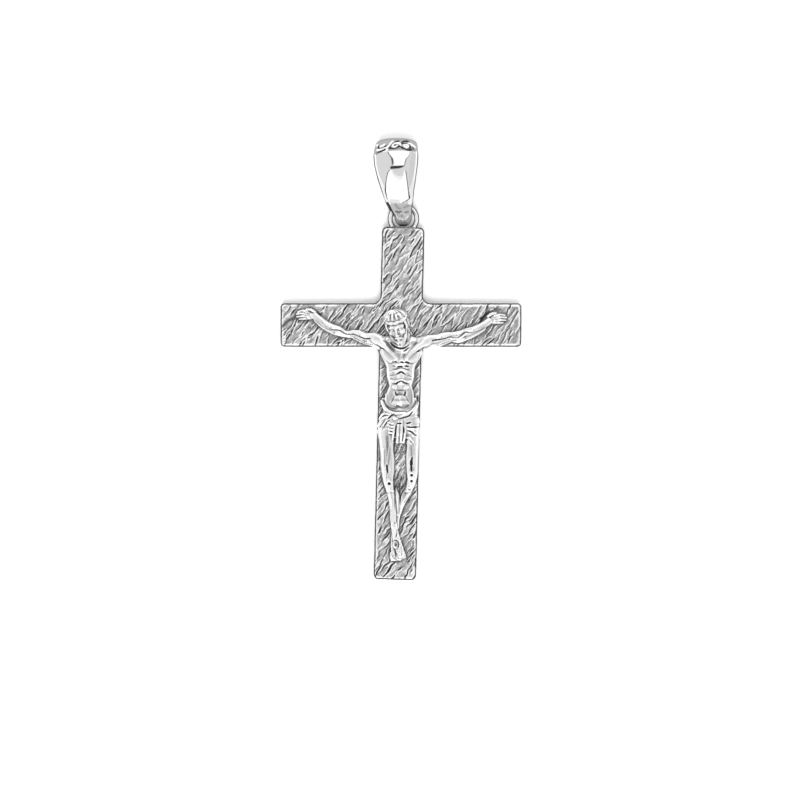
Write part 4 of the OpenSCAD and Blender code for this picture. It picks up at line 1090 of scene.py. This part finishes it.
def legs(clay):
    """Thighs, knees, shins and the crossed feet with the nail."""
    clay.bar(RIGHT_SHIN, 0.1, steps=6)
    clay.bar(CALF, 0.06, steps=6)
    clay.bar(LEFT_SHIN, 0.08, steps=6)
    clay.loft(LEFT_THIGH, 0.16, power=2.9)
    clay.loft(RIGHT_THIGH, 0.16, power=2.9)
    # thighs' long muscles, knee caps and shin bones
    clay.strokes(
        ([(-1.05, -12.2), (-1.2, -13.4), (-1.32, -14.6), (-1.4, -15.2)], 0.16, -0.035, 0.08),
        ([(1.0, -12.0), (1.05, -12.8), (1.1, -13.4)], 0.16, -0.035, 0.08),
        ([(-1.75, -12.4), (-1.72, -14.0), (-1.55, -15.4)], 0.16, 0.03, 0.1),
        ([(-0.85, -12.6), (-0.82, -14.0), (-0.88, -15.4)], 0.16, 0.03, 0.1),
        ([(0.68, -12.2), (0.66, -13.8), (0.75, -15.4)], 0.15, 0.03, 0.1),
        ([(1.48, -12.2), (1.45, -13.8), (1.3, -15.4)], 0.15, 0.03, 0.1),
    )
    clay.slab([(-1.4, -14.75), (-1.38, -15.55), (-1.12, -15.62), (-1.0, -14.9)], 2.1, (8, 6), 0.04)
    clay.drawn([(-1.42, -13.9), (-1.4, -14.3), (-1.34, -14.75)], 0.09, -0.14, 0.02)
    clay.pad((-1.18, -15.85, 2.12), (0.17, 0.16, 0.24), 0.02, cut=True)
    clay.pad((1.02, -13.75, 2.16), (0.19, 0.36, 0.2), 0.02, cut=True)
    clay.drawn([(1.12, -13.2), (1.04, -13.8), (1.05, -14.65)], 0.13, -0.2, 0.02)
    clay.pad((-1.17, -16.3, 1.85), (0.2, 0.3, 0.2), 0.05)
    clay.pad((1.06, -15.0, 2.12), (0.14, 0.14, 0.18), 0.02, cut=True)
    clay.pad((1.06, -15.6, 2.1), (0.14, 0.14, 0.2), 0.02, cut=True)
    clay.pad((0.95, -15.95, 1.86), (0.22, 0.26, 0.2), 0.06)
    clay.strokes(
        ([(0.7, -16.35), (0.84, -16.45), (1.0, -16.35)], 0.06, -0.07),
        ([(-1.38, -16.75), (-1.17, -16.9), (-0.95, -16.75)], 0.06, -0.05),
    )
    clay.slab([(-1.0, -19.7), (-0.5, -19.7), (-0.56, -18.2), (-0.68, -16.9), (-1.18, -16.9), (-1.06, -18.2)],
              1.66, (16, 4.5), 0.04)
    clay.bar([(-1.14, -16.8, 1.78, 0.11), (-1.0, -17.6, 1.68, 0.1), (-0.9, -18.6, 1.52, 0.1),
              (-0.8, -19.8, 1.38, 0.1)], 0.04)
    clay.bar([(0.95, -16.6, 1.62, 0.12), (0.55, -17.3, 1.36, 0.12), (0.15, -18.1, 1.1, 0.11),
              (-0.08, -18.8, 0.9, 0.1)], 0.05)
    clay.drawn([(-0.62, -16.9), (-0.6, -17.8), (-0.52, -18.8), (-0.42, -19.8)], 0.12, -0.13, 0.04)
    clay.slab([(0.0, -17.9), (0.24, -17.8), (0.78, -16.7), (0.6, -16.3), (0.25, -16.6), (-0.02, -17.2)],
              1.5, (-20, -8))
    clay.bar(RIGHT_FOOT, 0.08, steps=6)
    clay.bar(LEFT_FOOT, 0.06, steps=6)
    # toes, of the front foot and of the one behind it
    for k in range(5):
        big_toe = 0.02 * (k == 0)
        clay.bar([
            (-0.22 + 0.12 * k, -22.7, 0.92 - 0.04 * k, 0.13),
            (-0.13 + 0.13 * k, -23.2, 0.86 - 0.05 * k, 0.1),
            (-0.1 + 0.115 * k, -23.48 + 0.06 * k, 0.66 - 0.04 * k, 0.08 + big_toe)], 0.02)
        clay.bar([
            (-0.98 + 0.14 * k, -22.8, 0.6, 0.12), (-0.98 + 0.13 * k, -23.3, 0.52, 0.1),
            (-0.97 + 0.13 * k, -23.52, 0.36, 0.08)], 0.02)
    clay.pad((-0.3, -22.9, 0.52), (0.34, 0.66, 0.42), 0.1)
    clay.drawn([(-0.66, -22.3), (-0.44, -22.7)], 0.06, -0.05, 0.03)
    for line in FOOT_GROOVES:
        clay.drawn(line, 0.06, -0.1, 0.03)
    # the nail's head
    clay.pad((-0.54, -21.93, 1.46), (0.36, 0.48, 0.2), 0.01, cut=True)
    clay.pad((-0.54, -21.93, 1.36), (0.3, 0.42, 0.16), 0.01, power=4)
    clay.pad((-0.5, -21.95, 1.6), (0.17, 0.28, 0.12), 0.01, cut=True)


def hands(clay):
    """Palms and fingers, with the grooves between them."""
    for centre, turn, fingers in HANDS:
        clay.pad(centre, PALM_RADII, 0.08, turn)
        for places, sizes in zip(fingers, FINGERS):
            clay.bar(np.hstack([places, sizes]), 0.025)
    for points in HAND_GROOVES:
        clay.drawn(points, 0.075, -0.17, 0.02)


def combed(clay):
    """Strands of the hair over the band, and the creases under the beard."""
    clay.strokes(
        ([(-1.32, 0.84), (-1.12, 0.97), (-0.92, 1.04)], 0.07, -0.1, 0.02),
        ([(-0.84, 0.98), (-0.55, 1.13), (-0.28, 1.25)], 0.07, -0.1, 0.02),
        ([(-1.05, -1.75), (-0.8, -2.05), (-0.4, -2.28), (0.0, -2.36), (0.4, -2.28),
          (0.85, -1.95)], 0.1, -0.16),
        ([(0.25, -2.66), (0.5, -2.5), (0.85, -2.2)], 0.07, -0.12),
    )


# Places made darker by given amounts: centre, radii and how much; the one under the beard at the left is
# painted shade
DARKER_SPOTS = [
    ((-0.35, -22.1), (0.9, 1.5), 0.2), ((-0.54, -21.93), (0.32, 0.44), 0.25),
    ((0.35, -16.8), (0.4, 0.7), 0.3), ((0.0, -5.0), (1.3, 1.2), 0.07),
    ((-1.05, -7.15), (0.32, 0.75), 0.2), ((0.92, -7.15), (0.3, 0.75), 0.2),
    ((-0.1, -7.0), (0.35, 0.45), 0.25), ((-8.6, 0.3), (1.0, 0.5), 0.16), ((7.9, -0.15), (0.7, 0.45), 0.2),
    ((-0.85, -2.25), (0.35, 0.5), 0.5), ((-1.3, -13.0), (0.5, 1.2), 0.06),
    ((1.05, -12.6), (0.4, 0.9), 0.08),
]
# Painted shade in the creases: points, width, tone
SHADED_CREASES = [
    ([(-1.42, -8.08), (-0.84, -8.36), (-0.23, -8.22), (0.3, -8.3), (0.73, -8.04)], 0.09, 0.6),
    ([(-1.15, -8.38), (-0.6, -8.6), (0.2, -8.58), (0.75, -8.32)], 0.11, 0.35),
    ([(-1.45, -2.0), (-1.1, -2.35), (-0.75, -2.6)], 0.09, 0.45),
    ([(-0.66, -6.5), (0.0, -6.52), (0.4, -6.5)], 0.06, 0.45),
    ([(-0.1, -9.33), (0.4, -9.22), (0.8, -9.04), (1.1, -8.72)], 0.06, 0.95),
    ([(-0.6, -9.1), (-0.2, -9.3), (0.1, -9.32)], 0.05, 0.6), ([(1.0, -13.55), (1.05, -14.5)], 0.1, 0.95),
    ([(-1.38, -14.05), (-1.35, -14.7)], 0.07, 0.85), ([(-1.2, -15.85), (-1.16, -15.85)], 0.12, 0.95),
    ([(1.06, -15.0), (1.06, -15.04)], 0.1, 0.95), ([(1.06, -15.58), (1.06, -15.62)], 0.1, 0.95),
]


def make_corpus():
    """The figure, and the clay that it is made of."""
    clay = Clay((-10.8, -24.0, -0.11), (10.8, 2.0, 3.3), CORPUS_VOXEL)
    for work in (body, legs, trunk_detail, cloth, hands, head, combed):
        work(clay)
    clay.flat_back(0.0)
    clay.low[2] += BACK_Z
    obj = sculpted("cast_figure", clay, CORPUS_TRIANGLES)
    p = mesh_points(obj)
    x, y, z = p.T
    # tarnish in hollows and polish on ridges, and painted shade low on the sides next to the plate
    tarnish_and_painted_light = 2.2 * clay.hollows(p, 0.11) + 0.25 * ramp(z, BACK_Z + 0.34, BACK_Z + 0.14)
    # darker spots, the one under the beard painted shade
    for middle, radii, more in DARKER_SPOTS:
        away = ((x - middle[0]) / radii[0]) ** 2 + ((y - middle[1]) / radii[1]) ** 2
        tarnish_and_painted_light = tarnish_and_painted_light + more * fading(away, 1)
    in_front = z > BACK_Z + 0.8
    # painted shade in the creases at the front
    for line, width, tone in SHADED_CREASES:
        tarnish_and_painted_light = mixed(np.clip(tarnish_and_painted_light, -1, 1), on_line(line, width, x, y) * in_front, tone)
    store(obj, "tarnish_and_painted_light", np.clip(tarnish_and_painted_light, -1, 1))
    return obj, clay


# Floor, camera, light

WORLD_GLOW = 0.9
# The place that the lights are laid out round, in metres
AIM = np.array([0.0, 0.0165, 0.0045])
# The place in the middle of the view, in metres, about as high as the front of the plate
VIEW_AT = (-0.0001, -0.0075, 0.002)
# Softboxes: glow, distance, then rows of degrees from the zenith towards +Y, left and right edge in degrees
# towards +X, and the width of the black frame at each of them
SOFTBOXES = {
    "back": (1.4, 1.2, [
        (4.6, -2, 9, 1.4, 1.4), (10, -1.3, 10, 1.6, 1.4), (18, -1.3, 11, 2, 1.8), (27, -1.7, 12.5, 2, 1.8),
        (33, -3, 17, 1.8, 1.6), (38, -4.4, 19, 1.6, 1.2), (52, -7.5, 22, 1.2, 1), (66, -10, 24, 1, 1)]),
    "front": (1.4, 1.2, [
        (-4, -6.5, 12, 1.5, 2), (-10, -12, 14.4, 2, 2.4), (-19, -16.2, 16.1, 2.2, 2.6),
        (-28, -20.9, 17.4, 3, 3), (-36, -23.3, 17.8, 5, 4), (-44.5, -24.8, 17.9, 8, 6),
        (-57, -24.2, 17, 9, 9), (-62, -22.5, 9, 7, 5), (-68, -20, 3.5, 5, 1.5), (-74, -8, 1, 1.5, 1.5)]),
    "front_veil": (1.12, 1.15, [
        (-3.5, -4.5, 10.5, 0, 0), (-9, -4, 10, 0, 0), (-14, -1, 7, 0, 0), (-18, 1, 4, 0, 0)]),
    "front_low": (1.02, 1.12, [(-60, -16, 1, 0, 0), (-67, -15, 0, 0, 0), (-76, -7, 1, 0, 0)]),
    "front_shade": (0.85, 1.1, [(-3.3, -2.5, 9, 0, 0), (-7, -2.5, 8.5, 0, 0), (-12, 0.5, 6.5, 0, 0)]),
    "slot": (0.0, 0.83, [
        (-2.6, -5.8, -4, 0, 0), (-1.2, -6.2, 1.5, 0, 0), (0.4, -5.6, 6.5, 0, 0), (1.8, -4.5, 9.4, 0, 0),
        (3.4, 0.5, 9.8, 0, 0), (4.6, 7, 9.4, 0, 0)]),
    "right_wall": (0.79, 1.3, [
        (-60, 26, 62, 0, 0), (-20, 24, 62, 0, 0), (20, 24, 62, 0, 0), (60, 30, 62, 0, 0)]),
}


def stage_mesh(name, points, faces, colour, rough, glow=0.0):
    """A piece of the studio in one plain colour."""
    mesh = bpy.data.meshes.new(name)
    mesh.from_pydata(points, [], faces)
    obj = bpy.data.objects.new(name, mesh)
    bpy.context.scene.collection.objects.link(obj)
    material = bpy.data.materials.new(name)
    material.use_nodes = True
    shader = material.node_tree.nodes["Principled BSDF"]
    shader.inputs["Base Color"].default_value = (colour, colour, colour, 1)
    shader.inputs["Roughness"].default_value = rough
    shader.inputs["Emission Color"].default_value = (1, 1, 1, 1)
    shader.inputs["Emission Strength"].default_value = glow
    mesh.materials.append(material)
    return obj


def sky(distance, theta, phi):
    """The place at a distance from the aim, theta degrees from the zenith towards +Y and phi towards +X."""
    theta, phi = np.radians([theta, phi])
    way = np.array([np.sin(phi), np.cos(phi) * np.sin(theta), np.cos(phi) * np.cos(theta)])
    return AIM + distance * way


def softbox(name, glow, distance, rows):
    """A glowing sheet bent round the aim, with a black frame along its two sides."""
    count = len(rows)
    strips = [(k, k + 1, count + k + 1, count + k) for k in range(count - 1)]
    sheet = [sky(distance, row[0], row[side]) for side in (1, 2) for row in rows]
    stage_mesh(name, sheet, strips, colour=0.01, rough=0.9, glow=glow)
    for side, way in ((1, -1), (2, 1)):
        if rows[0][side + 2] > 0:
            edges = [[row[side] + way * share * row[side + 2] for row in rows] for share in (0, 1)]
            frame_points = [sky(distance, row[0], phi) for edge in edges for row, phi in zip(rows, edge)]
            stage_mesh(f"{name}_frame_{side}", frame_points, strips, colour=0.01, rough=0.9)


# Materials

# Where on the ramp from polished to full tarnish, which also carries painted light and shade, the four tones
# stand
TONE_PLACES = (0.36, 0.5, 0.68, 0.86)
# How much more blue the silver has than red and green
COOL = 1.005
# Cells of the fine noise to a metre, and how far it moves the surface, in metres
NOISE_SCALE = 2500
NOISE_H = 0.00002


def silver(name, tones, rough, bump):
    """Silver, darker with its tarnish and painted shade and lighter with painted highlights; tones are its
    greys on ridges, flats, in hollows and in grooves.
    """
    material = bpy.data.materials.new(name)
    material.use_nodes = True
    nodes, links = material.node_tree.nodes, material.node_tree.links
    shader = nodes["Principled BSDF"]
    shader.inputs["Metallic"].default_value = 1.0
    shader.inputs["Specular Tint"].default_value = (0.6, 0.6, 0.6, 1)
    tarnish_and_painted_light = nodes.new("ShaderNodeAttribute")
    tarnish_and_painted_light.attribute_name = "tarnish_and_painted_light"
    shift = nodes.new("ShaderNodeMapRange")
    shift.inputs["From Min"].default_value = -1
    greys = nodes.new("ShaderNodeValToRGB")
    for k, (place, tone) in enumerate(zip(TONE_PLACES, tones)):
        stop = greys.color_ramp.elements[k] if k < 2 else greys.color_ramp.elements.new(place)
        stop.position = place
        stop.color = (tone, tone, tone * COOL, 1)
    links.new(tarnish_and_painted_light.outputs["Fac"], shift.inputs["Value"])
    links.new(shift.outputs[0], greys.inputs[0])
    links.new(greys.outputs[0], shader.inputs["Base Color"])
    coords = nodes.new("ShaderNodeTexCoord")
    noise = nodes.new("ShaderNodeTexNoise")
    noise.inputs["Scale"].default_value = NOISE_SCALE
    noise.inputs["Detail"].default_value = 3
    links.new(coords.outputs["Object"], noise.inputs["Vector"])
    spread = nodes.new("ShaderNodeMapRange")
    spread.inputs["To Min"].default_value = rough * 0.7
    spread.inputs["To Max"].default_value = rough * 1.3
    links.new(noise.outputs[0], spread.inputs[0])
    links.new(spread.outputs[0], shader.inputs["Roughness"])
    relief = nodes.new("ShaderNodeBump")
    relief.inputs["Strength"].default_value = bump
    relief.inputs["Distance"].default_value = NOISE_H
    links.new(noise.outputs[0], relief.inputs["Height"])
    links.new(relief.outputs[0], shader.inputs["Normal"])
    return material


def make_floor():
    """A plain floor to lie on; half is half its side in metres."""
    half = 0.6
    corners = [(-half, -half, 0), (half, -half, 0), (half, half, 0), (-half, half, 0)]
    stage_mesh("floor", corners, [(0, 1, 2, 3)], colour=0.93, rough=0.9)


def make_camera():
    """A camera straight above, at a distance from which it sees a view so wide, in metres."""
    distance, view = 0.8, 0.08
    data = bpy.data.cameras.new("camera")
    data.sensor_width = 36
    data.lens = data.sensor_width * distance / view
    data.clip_start, data.clip_end = 0.01, 10
    camera = bpy.data.objects.new("camera", data)
    camera.location = (VIEW_AT[0], VIEW_AT[1], VIEW_AT[2] + distance)
    bpy.context.scene.collection.objects.link(camera)
    bpy.context.scene.camera = camera


def floor_light(name, watts, place, width, height):
    """A soft light for the floor alone: the metal doesn't mirror it."""
    data = bpy.data.lights.new(name, "AREA")
    data.energy = watts
    data.shape = "RECTANGLE"
    data.size, data.size_y = width, height
    light = bpy.data.objects.new(name, data)
    light.location = place
    light.rotation_euler = Vector(place - AIM).to_track_quat("Z", "Y").to_euler()
    light.visible_glossy = False
    bpy.context.scene.collection.objects.link(light)


def make_light():
    """The glow all round, the softboxes and the two lights for the floor."""
    world = bpy.context.scene.world or bpy.data.worlds.new("world")
    bpy.context.scene.world = world
    world.use_nodes = True
    background = world.node_tree.nodes["Background"]
    background.inputs["Color"].default_value = (WORLD_GLOW, WORLD_GLOW, WORLD_GLOW, 1)
    for name, (glow, distance, rows) in SOFTBOXES.items():
        softbox(name, glow, distance, rows)
    floor_light("overhead", watts=0.83, place=sky(0.806, -1.7, 0), width=0.02, height=0.02)
    floor_light("key", watts=3.4, place=sky(0.78, -20, 0), width=0.36, height=0.3)


make_camera()
make_floor()
make_light()

corpus, corpus_clay = make_corpus()
corpus.data.materials.append(silver("figure_silver", (1.0, 0.7, 0.28, 0.05), rough=0.14, bump=0.0))
cross = make_cross(corpus_clay)
cross.data.materials.append(silver("bark_silver", (1.0, 0.5, 0.22, 0.05), rough=0.25, bump=0.35))
bail = make_bail()
bail.data.materials.append(silver("polished_silver", (1.0, 0.76, 0.3, 0.04), rough=0.06, bump=0.0))
for piece, node, slot in (
    (corpus, "corpus", "bright_silver"),
    (cross, "cross", "textured_silver"),
    (bail, "bail", "polished_silver"),
):
    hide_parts(node)
    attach(piece, "root")

bpy.context.scene.view_settings.view_transform = "Standard"
